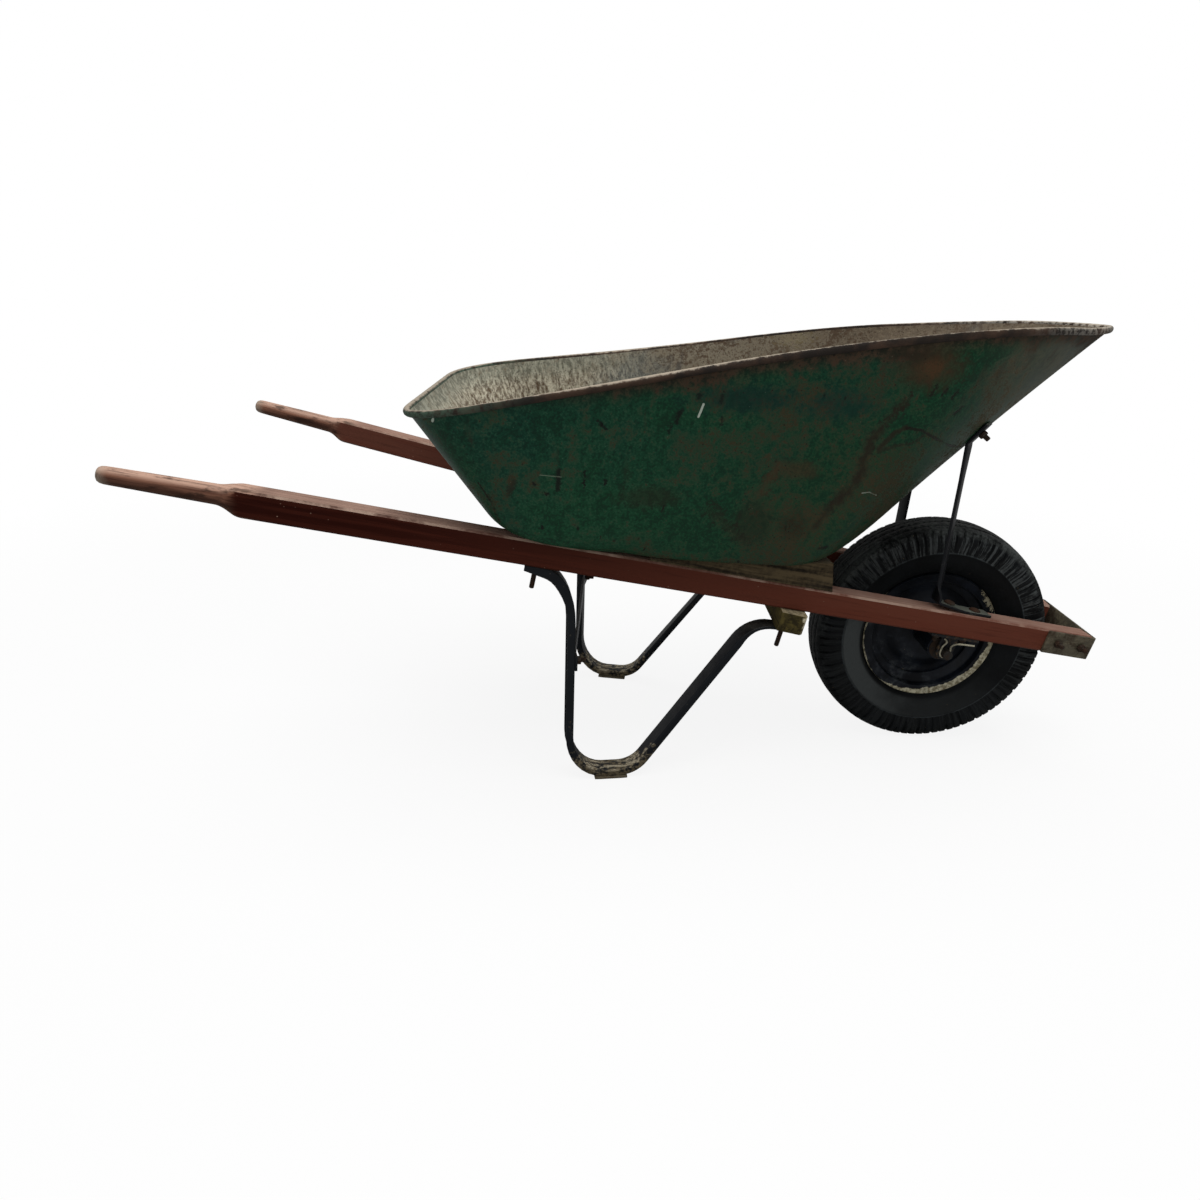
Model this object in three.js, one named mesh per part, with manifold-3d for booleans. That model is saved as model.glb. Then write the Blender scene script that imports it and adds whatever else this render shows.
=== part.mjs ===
// An old contractor's wheelbarrow: a steel tray on two wooden shafts, bent channel legs and one tyred wheel.
// Millimetres, +Z up, +X towards the wheel, +Y to the left of the person who pushes it.
import * as THREE from "three";
import { LoftGeometry } from "three/addons/geometries/LoftGeometry.js";
import { mergeVertices } from "three/addons/utils/BufferGeometryUtils.js";
import Module from "manifold-3d";

const wasm = await Module();
wasm.setup();

// Clearances
const SEAT_GAP = 0.3; // between two pieces that are bolted or pressed together
const HOLE_PLAY = 0.4; // round a bolt in its hole, on the radius

// Wheel: a 4.00-8 tyre on an 8 inch pressed rim
const TYRE_DIAMETER = 403;
const TYRE_WIDTH = 96;
const TYRE_WALL = 7;
const TREAD_DEPTH = 6;
const TREAD_LUGS = 44;
const TREAD_RIB = 11; // width of a rib between two grooves
const TREAD_GROOVE = 4;
const RIM_SEAT_DIAMETER = 203;
const RIM_FLANGE = 15; // height of the rim flange over the bead seat
const RIM_WIDTH = 63;
const RIM_WELL = 14; // depth of the well under the bead seat
const RIM_SHEET = 2.4;
const DISC_DISH = 15; // how far each wheel disc leans out at the hub
const HUB_DIAMETER = 44;
const HUB_WALL = 7;
const HUB_LENGTH = 168;
const BEARING_LENGTH = 15;
const BEARING_LIP = 2;
const TUBE_WALL = 2;
const TUBE_WIDTH = 60;
const VALVE_DIAMETER = 8;
const VALVE_LENGTH = 42;
const VALVE_OFFSET = 13; // from the middle of the wheel
const AXLE_DIAMETER = 16;
const AXLE_LENGTH = 234;
const AXLE_GROOVE = 1.2; // depth of the groove for the spring clip
const CLIP_WIRE = 3;
const CLIP_SWING = 10; // its long end stands out by this much
const CLIP_PLAY = 1.2; // between the clip and the bracket

// Wooden shafts
const HANDLE_LENGTH = 1548;
const HANDLE_WIDTH = 37;
const HANDLE_HEIGHT = 40;
const HANDLE_CHAMFER = 3;
const HANDLE_NOSE = 254; // from the axle to the front end, along the shaft
const HANDLE_OVER_AXLE = 58; // shaft centre over axle centre
const HANDLE_SPREAD = 206.4; // between the shaft centres over the axle
const TOE_IN = THREE.MathUtils.degToRad(7.95);
const FALL = THREE.MathUtils.degToRad(11.29);
const GRIP_LENGTH = 149;
const GRIP_SHOULDER = 40;
const GRIP_DIAMETER = 29;
const GRIP_TIP_DIAMETER = 25;
const GRIP_LIFT = 3; // the grip lies nearer to the top face than to the bottom

// Wooden wedges between shafts and tray
const RISER_FRONT = -221; // front end, along the barrow
const RISER_LENGTH = 300;
const RISER_FRONT_HEIGHT = 49;
const RISER_THIN_HEIGHT = 3;
const RISER_RAKE = 15; // its front face leans back by this much at the top
const RISER_INSET = 0.5; // narrower than the shaft by this much on each side

// Wooden bar across, under both shafts
const BAR_AT = -280; // centre of the bar from the axle, along the shafts
const BAR_DEPTH = 42;
const BAR_HEIGHT = 32;
const BAR_OVERHANG = 18; // past the outer face of each shaft
const BAR_SPLIT = 9; // how far the wood has split off at its right front corner
const BAR_CHIP = 5; // what has gone from its left front corner

// Bent channel legs
const LEG_WIDTH = 32;
const LEG_DEPTH = 12;
const LEG_SHEET = 3;
const LEG_TAIL_DEPTH = 9; // at the rear end
const LEG_BEND_DEPTH = 16; // in the rear bend, where the flanges stand out furthest
const LEG_TIP_DEPTH = 5; // at the front end, which is beaten flat
const LEG_TIP_LENGTH = 70; // how long that end is beaten flat
const LEG_FLARE_LENGTH = 60; // over which the depth changes
const LEG_POST = -627; // front face of the right upright, from the axle
const LEG_STAGGER = 10; // the left leg stands further forward by this much
const LEG_TAIL = 77; // from the upright back to the rear end
const LEG_FOOT = 100; // flat length of the foot between its corners
const LEG_RAKE = THREE.MathUtils.degToRad(55); // slope of the long strut
const LEG_TOP_RADIUS = 58;
const LEG_TOP_STRETCH = 1.7; // that bend runs out longer down the upright
const LEG_HEEL_RADIUS = 64;
const LEG_HEEL_STRETCH = 0.8; // and this one shorter along the foot
const LEG_TOE_RADIUS = 44;
const LEG_FRONT_RADIUS = 60;
const SHOE_THICKNESS = 4.5;
const SHOE_LENGTH = 54;
const SHOE_WIDTH = LEG_WIDTH + 3;
const SHOE_AHEAD = 14; // its middle in front of the middle of the foot
const SHOE_TURN_UP = 0.4;
const SHOE_BEND = 9; // length of each turned-up end

// Flat strap between the legs
const LEG_BRACE_HEIGHT = 212; // over the ground
const LEG_BRACE_WIDTH = 25;
const LEG_BRACE_SHEET = 4;
const LEG_BRACE_TAB = 18;

// Straps from the shafts up to the front of the tray
const BRACE_WIDTH = 25;
const BRACE_SHEET = 4.5;
const BRACE_BEND = 7.2; // how much of the strap each bend takes up
const BRACE_TWIST = 34; // under its upper bend it turns to face the tray over this length
const BRACE_FOOT_BACK = -43; // bend of the foot from the axle, along the shaft
const BRACE_FOOT_FRONT = 58;
const BRACE_FOOT_LIFT = 8; // the old foot has sprung up at its bend
const BRACE_TOP_HEIGHT = 556; // where the strap meets the tray, over the ground
const BRACE_TOP_SPREAD = 208;
const BRACE_FOOT_FLAT = 12; // the foot lies flat in front of here
const BRACE_STANDOFF = 0.7; // the flat strap against the curved tray wall
const BRACE_TAB = 40; // flat end against the tray
const BRACE_TAB_BOLT = 23; // bolt from the bend of the flat end

// Strap round the front ends of the shafts
const NOSE_STRAP_SHEET = 4;
const NOSE_STRAP_HEIGHT = 39;
const NOSE_STRAP_LENGTH = 84;
const NOSE_STRAP_RADIUS = 1; // inside the bend
const NOSE_STRAP_STANDOFF = 1; // in front of the shaft ends

// Brackets that carry the axle
const BRACKET_SHEET = 4.5;
const BRACKET_LENGTH = 88;
const BRACKET_WIDTH = 33;
const BRACKET_EAR = 28;
const BRACKET_EAR_INSET = 4.5; // ear inwards of the shaft centre

// Bolts
const BOLT_DIAMETER = 8;
const BOLT_HEAD_DIAMETER = 19;
const BOLT_HEAD_HEIGHT = 4;
const NUT_SIZE = 14; // across corners
const NUT_HEIGHT = 6.5;
const TRAY_BOLT_REAR = -688;
const TRAY_BOLT_FRONT = BAR_AT;
const TRAY_BOLT_INSET = 5; // bolt line inwards of the shaft centre
const TRAY_BOLT_TAIL = 30; // bolt end below its nut
const AXLE_BOLTS = [-17, 33]; // from the axle, along the shaft
const AXLE_BOLT_TAIL = 7;
const STRAP_BOLTS = [19, 64]; // from the rear end of the strap
const STRAP_BOLT_TAIL = 9;
const SMALL_BOLT_TAIL = 8;

// Pressed steel tray
const TRAY_SHEET = 1.6;
const TRAY_BEAD_DIAMETER = 10.4;
const TRAY_SEAT_BLEND = 8; // how softly the floor bends between shafts and wedges
// outlines in plan: rear edge, half width there, corner, where the nose starts, half width there, front end
const TRAY_RIM = {
  rear: -862, halfRear: 285, corner: 118, shoulder: -91, halfFront: 222, nose: 200,
  sideHold: 0.37, noseHold: 0.2,
};
const TRAY_FLOOR = {
  rear: -737, halfRear: 243, corner: 70, shoulder: -281, halfFront: 196, nose: -186,
  sideHold: 0.54, noseHold: 0.56,
};
const TRAY_RIM_REAR_HEIGHT = 594; // bead centre over the ground
const TRAY_RIM_RISE = 126; // from the rear edge to the nose
const TRAY_RIM_CROWN = 21; // how far the rim bows up between them
const TRAY_RIM_SWEEP = 6; // the bow lies nearer to the nose than to the rear edge
const TRAY_LEAN = 11; // the old rim hangs on the left side and rises on the right
const FILLET_INWARD = 36;
const FILLET_UP_SIDE = 56;
const FILLET_UP_REAR = 34;
const FILLET_UP_FRONT = 108;

// Facets of the turned pieces
const RIM_FACETS = 30;
const TUBE_FACETS = 24;
const SHAFT_FACETS = 16;
const BOLT_FACETS = 8;

// Derived places
const AXLE_HEIGHT = TYRE_DIAMETER / 2;
const CHASSIS_HEIGHT = AXLE_HEIGHT + HANDLE_OVER_AXLE;
const SIDES = [{ side: -1, label: "right" }, { side: 1, label: "left" }];

const slope = Math.tan(FALL);
const surfaceHeight = (x, over) => CHASSIS_HEIGHT + over / Math.cos(FALL) - slope * x;
const undersideAt = (x) => surfaceHeight(x, -HANDLE_HEIGHT / 2);
const handleTopAt = (x) => surfaceHeight(x, HANDLE_HEIGHT / 2);

const riserPitch = Math.atan((RISER_FRONT_HEIGHT - RISER_THIN_HEIGHT) / RISER_LENGTH);
const riserTopAt = (x) => surfaceHeight(RISER_FRONT, HANDLE_HEIGHT / 2 + SEAT_GAP + RISER_FRONT_HEIGHT)
  - Math.tan(FALL - riserPitch) * (x - RISER_FRONT);

// the tray floor rests on the shafts at the back and on the wedges in front
function floorUndersideAt(x) {
  const onHandle = handleTopAt(x);
  const onRiser = riserTopAt(x);
  const apart = onHandle - onRiser;
  return onRiser + (apart + Math.hypot(apart, TRAY_SEAT_BLEND)) / 2 + SEAT_GAP;
}

// Materials
function finish(color, roughness, metalness) {
  return new THREE.MeshStandardMaterial({ color, roughness, metalness });
}

const greenPaint = finish(0x24463c, 0.55, 0.2);
const redPaint = finish(0x5e2f22, 0.7, 0);
const greyWood = finish(0x6b5f4c, 0.9, 0);
const yellowWood = finish(0x776b38, 0.9, 0);
const blackPaint = finish(0x14181d, 0.5, 0.4);
const wornSteel = finish(0x6e6a5e, 0.6, 0.6);
const rustySteel = finish(0x5b3a28, 0.8, 0.4);
const blackRubber = finish(0x17181a, 0.85, 0);
const navyPaint = finish(0x141a26, 0.5, 0.3);
const wireSteel = finish(0xa9a48f, 0.5, 0.6);

// Solids
function closed(geometry) {
  const bare = new THREE.BufferGeometry();
  bare.setAttribute("position", geometry.attributes.position);
  if (geometry.index) bare.setIndex(geometry.index);
  const merged = mergeVertices(bare, 1e-4);
  const corners = merged.index.array;
  const kept = [];
  for (let i = 0; i < corners.length; i += 3) {
    const [a, b, c] = [corners[i], corners[i + 1], corners[i + 2]];
    if (a !== b && b !== c && c !== a) kept.push(a, b, c);
  }
  merged.setIndex(kept);
  if (volumeOf(merged) < 0) {
    for (let i = 0; i < kept.length; i += 3) [kept[i + 1], kept[i + 2]] = [kept[i + 2], kept[i + 1]];
    merged.setIndex(kept);
  }
  return merged;
}

function volumeOf(geometry) {
  const at = geometry.attributes.position;
  const corner = [new THREE.Vector3(), new THREE.Vector3(), new THREE.Vector3()];
  let sum = 0;
  for (let i = 0; i < geometry.index.count; i += 3) {
    corner.forEach((point, k) => point.fromBufferAttribute(at, geometry.index.getX(i + k)));
    sum += corner[0].dot(corner[1].clone().cross(corner[2])) / 6;
  }
  return sum;
}

function toManifold(geometry) {
  const mesh = new wasm.Mesh({
    numProp: 3,
    vertProperties: new Float32Array(geometry.attributes.position.array),
    triVerts: new Uint32Array(geometry.index.array),
  });
  return new wasm.Manifold(mesh);
}

function fromManifold(solid) {
  const mesh = solid.getMesh();
  const geometry = new THREE.BufferGeometry();
  geometry.setAttribute("position", new THREE.BufferAttribute(new Float32Array(mesh.vertProperties), 3));
  geometry.setIndex(new THREE.BufferAttribute(new Uint32Array(mesh.triVerts), 1));
  return geometry;
}

function join(...geometries) {
  return fromManifold(geometries.map((g) => toManifold(closed(g))).reduce((sum, next) => sum.add(next)));
}

function cut(geometry, ...tools) {
  return fromManifold(tools.map((g) => toManifold(closed(g)))
    .reduce((rest, tool) => rest.subtract(tool), toManifold(closed(geometry))));
}

function piece(name, geometry, material) {
  const mesh = new THREE.Mesh(closed(geometry), material);
  mesh.name = name;
  return mesh;
}

function placed(object, position = [0, 0, 0], rotation = [0, 0, 0]) {
  object.position.set(...position);
  object.rotation.set(...rotation);
  return object;
}

// a cylinder along X, Y or Z
function rod(radius, length, axis = "z", sides = 12) {
  const geometry = new THREE.CylinderGeometry(radius, radius, length, sides);
  if (axis === "z") geometry.rotateX(Math.PI / 2);
  if (axis === "x") geometry.rotateZ(Math.PI / 2);
  return geometry;
}

// a ring or shaft turned about the Y axis from [radius, y] points
function turned(profile, segments) {
  return new THREE.LatheGeometry(profile.map(([r, y]) => new THREE.Vector2(r, y)), segments);
}

// the closed outline of a sheet of even thickness that follows a line of points
function sheetOutline(points, thickness) {
  const line = points.map(([a, b]) => new THREE.Vector2(a, b));
  const offset = (sign) => line.map((point, i) => {
    const before = line[Math.max(i - 1, 0)];
    const after = line[Math.min(i + 1, line.length - 1)];
    const along = after.clone().sub(before).normalize();
    return [point.x - along.y * sign * thickness / 2, point.y + along.x * sign * thickness / 2];
  });
  const outline = [...offset(1), ...offset(-1).reverse()];
  return [...outline, outline[0]];
}

// stations along a line in the XZ plane whose corners are rounded: [x, z, radius, stretch], where
// stretch makes a bend run out longer or shorter along the line that follows it
function route(corners, arcSteps = 6) {
  const points = corners.map(([x, z]) => new THREE.Vector2(x, z));
  const path = new THREE.Path();
  path.moveTo(points[0].x, points[0].y);
  for (let i = 1; i < points.length - 1; i++) {
    const back = points[i - 1].clone().sub(points[i]).normalize();
    const on = points[i + 1].clone().sub(points[i]).normalize();
    const turn = Math.PI - back.angleTo(on);
    const setback = corners[i][2] * Math.tan(turn / 2);
    const handle = setback - corners[i][2] * Math.tan(turn / 4) * 4 / 3;
    const stretch = corners[i][3] ?? 1;
    const start = points[i].clone().addScaledVector(back, setback);
    const end = points[i].clone().addScaledVector(on, setback * stretch);
    const first = points[i].clone().addScaledVector(back, handle);
    const second = points[i].clone().addScaledVector(on, handle * stretch);
    path.lineTo(start.x, start.y);
    path.bezierCurveTo(first.x, first.y, second.x, second.y, end.x, end.y);
  }
  path.lineTo(points.at(-1).x, points.at(-1).y);
  const stations = [];
  let travelled = 0;
  for (const curve of path.curves) {
    const steps = curve.isLineCurve ? 1 : arcSteps;
    for (let k = stations.length ? 1 : 0; k <= steps; k++) {
      stations.push({
        at: curve.getPoint(k / steps),
        along: curve.getTangent(k / steps),
        travelled: travelled + curve.getLength() * k / steps,
      });
    }
    travelled += curve.getLength();
  }
  return stations.map((station) => ({ ...station, left: travelled - station.travelled }));
}

// a loft whose ends are closed by a fan of faces
function loft(rings) {
  const end = (ring) => {
    const middle = ring.reduce((sum, point) => sum.add(point), new THREE.Vector3()).divideScalar(ring.length);
    return ring.map(() => middle.clone());
  };
  return new LoftGeometry([end(rings[0]), ...rings, end(rings.at(-1))]);
}

// a bar extruded straight and then bent along a route; depthAt gives each corner its depth at a station
function bentBar(stations, section, depthAt) {
  const steps = stations.length - 1;
  const outline = new THREE.Shape(section.map(([y, depth]) => new THREE.Vector2(y, depth)));
  const bar = new THREE.ExtrudeGeometry(outline, { depth: steps, steps, bevelEnabled: false });
  const corner = bar.attributes.position;
  for (let i = 0; i < corner.count; i++) {
    const station = stations[Math.round(corner.getZ(i))];
    const depth = depthAt(station, corner.getY(i));
    const x = station.at.x + station.along.y * depth;
    const z = station.at.y - station.along.x * depth;
    corner.setXYZ(i, x, corner.getX(i), z);
  }
  return bar;
}

// a flat strap lofted along points, each with the direction across its width
function strap(stops, width, thickness) {
  const rings = stops.map(({ at, across, normal }) => {
    const half = across.clone().normalize().multiplyScalar(width / 2);
    const lift = normal.clone().normalize().multiplyScalar(thickness);
    const [left, right] = [at.clone().sub(half), at.clone().add(half)];
    return [left, right, right.clone().add(lift), left.clone().add(lift)];
  });
  return loft(rings);
}

// Fasteners stand along -Z from the seat of their head at z = 0
function boltGeometry(reach) {
  const shank = BOLT_DIAMETER / 2;
  const head = BOLT_HEAD_DIAMETER / 2;
  const profile = [
    [0, BOLT_HEAD_HEIGHT], [head * 0.7, BOLT_HEAD_HEIGHT * 0.6], [head, 0],
    [shank, 0], [shank, -reach], [0, -reach],
  ];
  return turned(profile, BOLT_FACETS).rotateX(Math.PI / 2);
}

function nutGeometry() {
  const bore = (BOLT_DIAMETER / 2 + SEAT_GAP) / Math.cos(Math.PI / 6);
  const outer = NUT_SIZE / 2;
  const profile = [[bore, 0], [outer, 0], [outer, -NUT_HEIGHT], [bore, -NUT_HEIGHT], [bore, 0]];
  return turned(profile, 6).rotateX(Math.PI / 2);
}

// a bolt with its nut: grip is the thickness between the two seats
function fastener(name, grip, tail) {
  const group = new THREE.Group();
  const reach = grip + NUT_HEIGHT + tail;
  const bolt = piece(`${name}_bolt`, boltGeometry(reach), rustySteel);
  const nut = piece(`${name}_nut`, nutGeometry(), rustySteel);
  nut.position.z = -grip;
  group.add(bolt, nut);
  group.userData = { reach };
  return group;
}

// holes for the bolts of the fasteners that pass through each piece
const passages = new Map();
function passes(fastenerGroup, ...pieces) {
  for (const mesh of pieces) {
    if (!passages.has(mesh)) passages.set(mesh, []);
    passages.get(mesh).push(fastenerGroup);
  }
}

function drillAll(root) {
  root.updateMatrixWorld(true);
  for (const [mesh, groups] of passages) {
    const toPiece = mesh.matrixWorld.clone().invert();
    const holes = groups.map((group) => {
      const { reach } = group.userData;
      const hole = rod(BOLT_DIAMETER / 2 + HOLE_PLAY, reach * 2, "z", BOLT_FACETS);
      hole.translate(0, 0, -reach / 2);
      return hole.applyMatrix4(toPiece.clone().multiply(group.matrixWorld));
    });
    mesh.geometry = cut(mesh.geometry, ...holes);
  }
}

// Chassis frame: X runs along the plane of both shafts, its origin is over the axle
const chassis = placed(new THREE.Group(), [0, 0, CHASSIS_HEIGHT], [0, FALL, 0]);
const toChassis = (x, z) => new THREE.Vector2(
  x * Math.cos(FALL) - (z - CHASSIS_HEIGHT) * Math.sin(FALL),
  x * Math.sin(FALL) + (z - CHASSIS_HEIGHT) * Math.cos(FALL));
const axleInChassis = toChassis(0, AXLE_HEIGHT);

// Shafts
function shaftSection(halfWidth, halfHeight, chamfer, roundness) {
  const flat = [];
  for (const [sy, sz] of [[1, 1], [-1, 1], [-1, -1], [1, -1]]) {
    const corner = [
      [halfWidth, halfHeight - chamfer], [halfWidth - chamfer * 0.3, halfHeight - chamfer * 0.3],
      [halfWidth - chamfer, halfHeight],
    ];
    const turn = sy * sz > 0 ? corner : corner.reverse();
    if (sy * sz > 0) flat.push([sy * halfWidth, 0], ...turn.map(([y, z]) => [sy * y, sz * z]));
    else flat.push([0, sz * halfHeight], ...turn.map(([y, z]) => [sy * y, sz * z]));
  }
  return flat.map(([y, z]) => {
    const round = new THREE.Vector2(y / halfWidth, z / halfHeight).normalize();
    return [
      THREE.MathUtils.lerp(y, round.x * halfWidth, roundness),
      THREE.MathUtils.lerp(z, round.y * halfHeight, roundness),
    ];
  });
}

function shaftGeometry() {
  const tip = HANDLE_NOSE - HANDLE_LENGTH;
  const grip = GRIP_DIAMETER / 2;
  const end = GRIP_TIP_DIAMETER / 2;
  const stops = [
    [0, end * 0.45, 1], [1.5, end * 0.75, 1], [5, end * 0.94, 1], [12, end, 1],
    [GRIP_LENGTH * 0.5, (grip + end) / 2, 1], [GRIP_LENGTH, grip, 1],
  ].map(([x, radius]) => ({ x: tip + x, half: [radius, radius], lift: GRIP_LIFT, chamfer: 1, round: 1 }));
  for (const share of [0.25, 0.5, 0.75, 1]) {
    const ease = THREE.MathUtils.smoothstep(share, 0, 1);
    stops.push({
      x: tip + GRIP_LENGTH + GRIP_SHOULDER * share,
      half: [HANDLE_WIDTH / 2, HANDLE_HEIGHT / 2].map((to) => THREE.MathUtils.lerp(grip, to, ease)),
      lift: GRIP_LIFT * (1 - ease), chamfer: HANDLE_CHAMFER, round: (1 - share) ** 1.5,
    });
  }
  const square = { half: [HANDLE_WIDTH / 2, HANDLE_HEIGHT / 2], lift: 0, chamfer: HANDLE_CHAMFER, round: 0 };
  stops.push({ ...square, x: HANDLE_NOSE });
  const rings = stops.map(({ x, half, lift, chamfer, round }) => shaftSection(...half, chamfer, round)
    .map(([y, z]) => new THREE.Vector3(x, y, z + lift)));
  return loft(rings);
}

// Wedge between a shaft and the tray, in the frame of the shaft
function riserGeometry() {
  const front = toChassis(RISER_FRONT, handleTopAt(RISER_FRONT)).x / Math.cos(TOE_IN);
  const base = HANDLE_HEIGHT / 2 + SEAT_GAP;
  const outline = new THREE.Shape([
    new THREE.Vector2(front, base),
    new THREE.Vector2(front - RISER_RAKE, base + RISER_FRONT_HEIGHT - Math.tan(riserPitch) * RISER_RAKE),
    new THREE.Vector2(front - RISER_LENGTH, base + RISER_THIN_HEIGHT),
    new THREE.Vector2(front - RISER_LENGTH, base),
  ]);
  const width = HANDLE_WIDTH - RISER_INSET * 2;
  const bar = new THREE.ExtrudeGeometry(outline, { depth: width, bevelEnabled: false });
  return bar.rotateX(Math.PI / 2).translate(0, width / 2, 0);
}

// Broken-ended bar under both shafts
function crossBarGeometry() {
  const reach = HANDLE_SPREAD / 2 - BAR_AT * Math.tan(TOE_IN) + HANDLE_WIDTH / 2 + BAR_OVERHANG;
  const half = BAR_DEPTH / 2;
  const outline = new THREE.Shape([
    new THREE.Vector2(-reach, -half), new THREE.Vector2(reach, -half),
    new THREE.Vector2(reach, half - BAR_CHIP), new THREE.Vector2(reach - BAR_CHIP, half),
    new THREE.Vector2(-reach + BAR_SPLIT, half),
    new THREE.Vector2(-reach + BAR_SPLIT * 0.65, half - BAR_SPLIT * 0.35),
    new THREE.Vector2(-reach + BAR_SPLIT * 0.2, half - BAR_SPLIT * 0.45),
    new THREE.Vector2(-reach, half - BAR_SPLIT),
  ]);
  const bar = new THREE.ExtrudeGeometry(outline, { depth: BAR_HEIGHT, bevelEnabled: false });
  return bar.rotateZ(-Math.PI / 2).translate(BAR_AT, 0, -HANDLE_HEIGHT / 2 - SEAT_GAP - BAR_HEIGHT);
}

// Leg, in the upright plane under its shaft
const legFootHeight = SHOE_THICKNESS + SEAT_GAP + LEG_DEPTH;
const barUndersideAt = (x) => surfaceHeight(x, -HANDLE_HEIGHT / 2 - SEAT_GAP * 2 - BAR_HEIGHT);

function legSection() {
  const half = LEG_WIDTH / 2;
  const inner = half - LEG_SHEET;
  const round = LEG_SHEET / 2;
  return [
    [-half + round, 0], [half - round, 0], [half, round], [half, LEG_DEPTH], [inner, LEG_DEPTH],
    [inner, LEG_SHEET], [-inner, LEG_SHEET], [-inner, LEG_DEPTH], [-half, LEG_DEPTH], [-half, round],
  ];
}

const postAt = (side) => LEG_POST + (side > 0 ? LEG_STAGGER : 0);

function legCorners(post) {
  const toe = post + LEG_FOOT;
  const rise = Math.tan(LEG_RAKE);
  const ahead = Math.cos(TOE_IN);
  const clearance = LEG_WIDTH / 2 * Math.sin(TOE_IN) * slope + SEAT_GAP;
  const underShaft = (x) => undersideAt(x * ahead) - clearance;
  const underBar = (x) => barUndersideAt(x * ahead) - clearance;
  const rear = post - LEG_TAIL;
  // where the long strut meets the line under the bar
  const frontX = (underBar(0) - legFootHeight + rise * toe) / (rise + slope * ahead);
  const front = BAR_AT + BAR_DEPTH * 0.4;
  return [
    [rear, underShaft(rear), 0],
    [post, underShaft(post), LEG_TOP_RADIUS, LEG_TOP_STRETCH],
    [post, legFootHeight, LEG_HEEL_RADIUS, LEG_HEEL_STRETCH],
    [toe, legFootHeight, LEG_TOE_RADIUS],
    [frontX, underBar(frontX), LEG_FRONT_RADIUS],
    [front, underBar(front), 0],
  ];
}

function legGeometry(post) {
  const { lerp, smoothstep } = THREE.MathUtils;
  const flangeAt = ({ travelled, left }) => {
    const rear = lerp(LEG_TAIL_DEPTH, LEG_BEND_DEPTH, smoothstep(travelled, 0, LEG_TAIL / 2));
    const upright = lerp(rear, LEG_DEPTH, smoothstep(travelled, LEG_TAIL, LEG_TAIL + LEG_FLARE_LENGTH));
    const flared = smoothstep(left, LEG_TIP_LENGTH, LEG_TIP_LENGTH + LEG_FLARE_LENGTH);
    return lerp(LEG_TIP_DEPTH, upright, flared);
  };
  // the inside of the V is the web, the flanges point outwards
  return bentBar(route(legCorners(post), 8), legSection(),
    (station, depth) => (depth < LEG_DEPTH ? depth : flangeAt(station)));
}

function shoeGeometry(post) {
  const half = SHOE_LENGTH / 2;
  const line = [
    [-half, SHOE_THICKNESS / 2 + SHOE_TURN_UP], [-half + SHOE_BEND, SHOE_THICKNESS / 2],
    [half - SHOE_BEND, SHOE_THICKNESS / 2], [half, SHOE_THICKNESS / 2 + SHOE_TURN_UP],
  ];
  const outline = sheetOutline(line, SHOE_THICKNESS).slice(0, -1)
    .map(([x, z]) => new THREE.Vector2(x, Math.max(z, 0)));
  const shape = new THREE.Shape(outline);
  const plate = new THREE.ExtrudeGeometry(shape, { depth: SHOE_WIDTH, bevelEnabled: false });
  return plate.rotateX(Math.PI / 2).translate(post + LEG_FOOT / 2 + SHOE_AHEAD, SHOE_WIDTH / 2, 0);
}

// Tray
function outlinePoints({ rear, halfRear, corner, shoulder, halfFront, nose, sideHold, noseHold }) {
  const side = new THREE.Vector2(shoulder - rear, halfFront - halfRear).normalize();
  const start = [rear + side.x * corner, halfRear + side.y * corner];
  const hold = sideHold * (nose - shoulder);
  const path = new THREE.Path();
  path.moveTo(rear, 0);
  path.lineTo(rear, halfRear - corner);
  path.quadraticCurveTo(rear, halfRear, ...start);
  path.lineTo(shoulder, halfFront);
  path.bezierCurveTo(shoulder + side.x * hold, halfFront + side.y * hold, nose, noseHold * halfFront, nose, 0);
  const steps = [2, 6, 4, 11];
  const half = path.curves.flatMap((curve, i) => curve.getPoints(steps[i]).slice(1));
  const right = half.slice(0, -1).map((p) => new THREE.Vector2(p.x, -p.y));
  const left = half.slice(0, -1).map((p) => p.clone()).reverse();
  return [new THREE.Vector2(rear, 0), ...right, new THREE.Vector2(nose, 0), ...left];
}

function rimHeightAt(x, y) {
  const share = (x - TRAY_RIM.rear) / (TRAY_RIM.nose - TRAY_RIM.rear);
  const bow = 4 * share * (1 - share);
  const leaning = THREE.MathUtils.smoothstep(share, 0, 0.5) * THREE.MathUtils.smoothstep(1 - share, 0, 0.26);
  const lean = TRAY_LEAN * leaning * THREE.MathUtils.clamp(y / 150, -1, 1);
  const sweep = TRAY_RIM_SWEEP * Math.sin(2 * Math.PI * share);
  return TRAY_RIM_REAR_HEIGHT + TRAY_RIM_RISE * share + TRAY_RIM_CROWN * bow - sweep - lean;
}

// what the loft needs at each point round the tray
function trayColumns() {
  const floor = outlinePoints(TRAY_FLOOR);
  return outlinePoints(TRAY_RIM).map((edge, i) => {
    const bead = new THREE.Vector3(edge.x, edge.y, rimHeightAt(edge.x, edge.y));
    const inward = new THREE.Vector3(floor[i].x - edge.x, floor[i].y - edge.y, 0);
    const run = inward.length();
    inward.normalize();
    const corner = new THREE.Vector3(floor[i].x, floor[i].y, floorUndersideAt(floor[i].x));
    const up = bead.clone().addScaledVector(inward, TRAY_BEAD_DIAMETER / 2).sub(corner);
    const lean = Math.atan2(run, up.z);
    const end = inward.x;
    const filletEnd = end > 0 ? FILLET_UP_REAR : FILLET_UP_FRONT;
    const filletUp = THREE.MathUtils.lerp(FILLET_UP_SIDE, filletEnd, end * end);
    return { bead, inward, corner, wall: up.clone().normalize(), lean, filletUp };
  });
}

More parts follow.
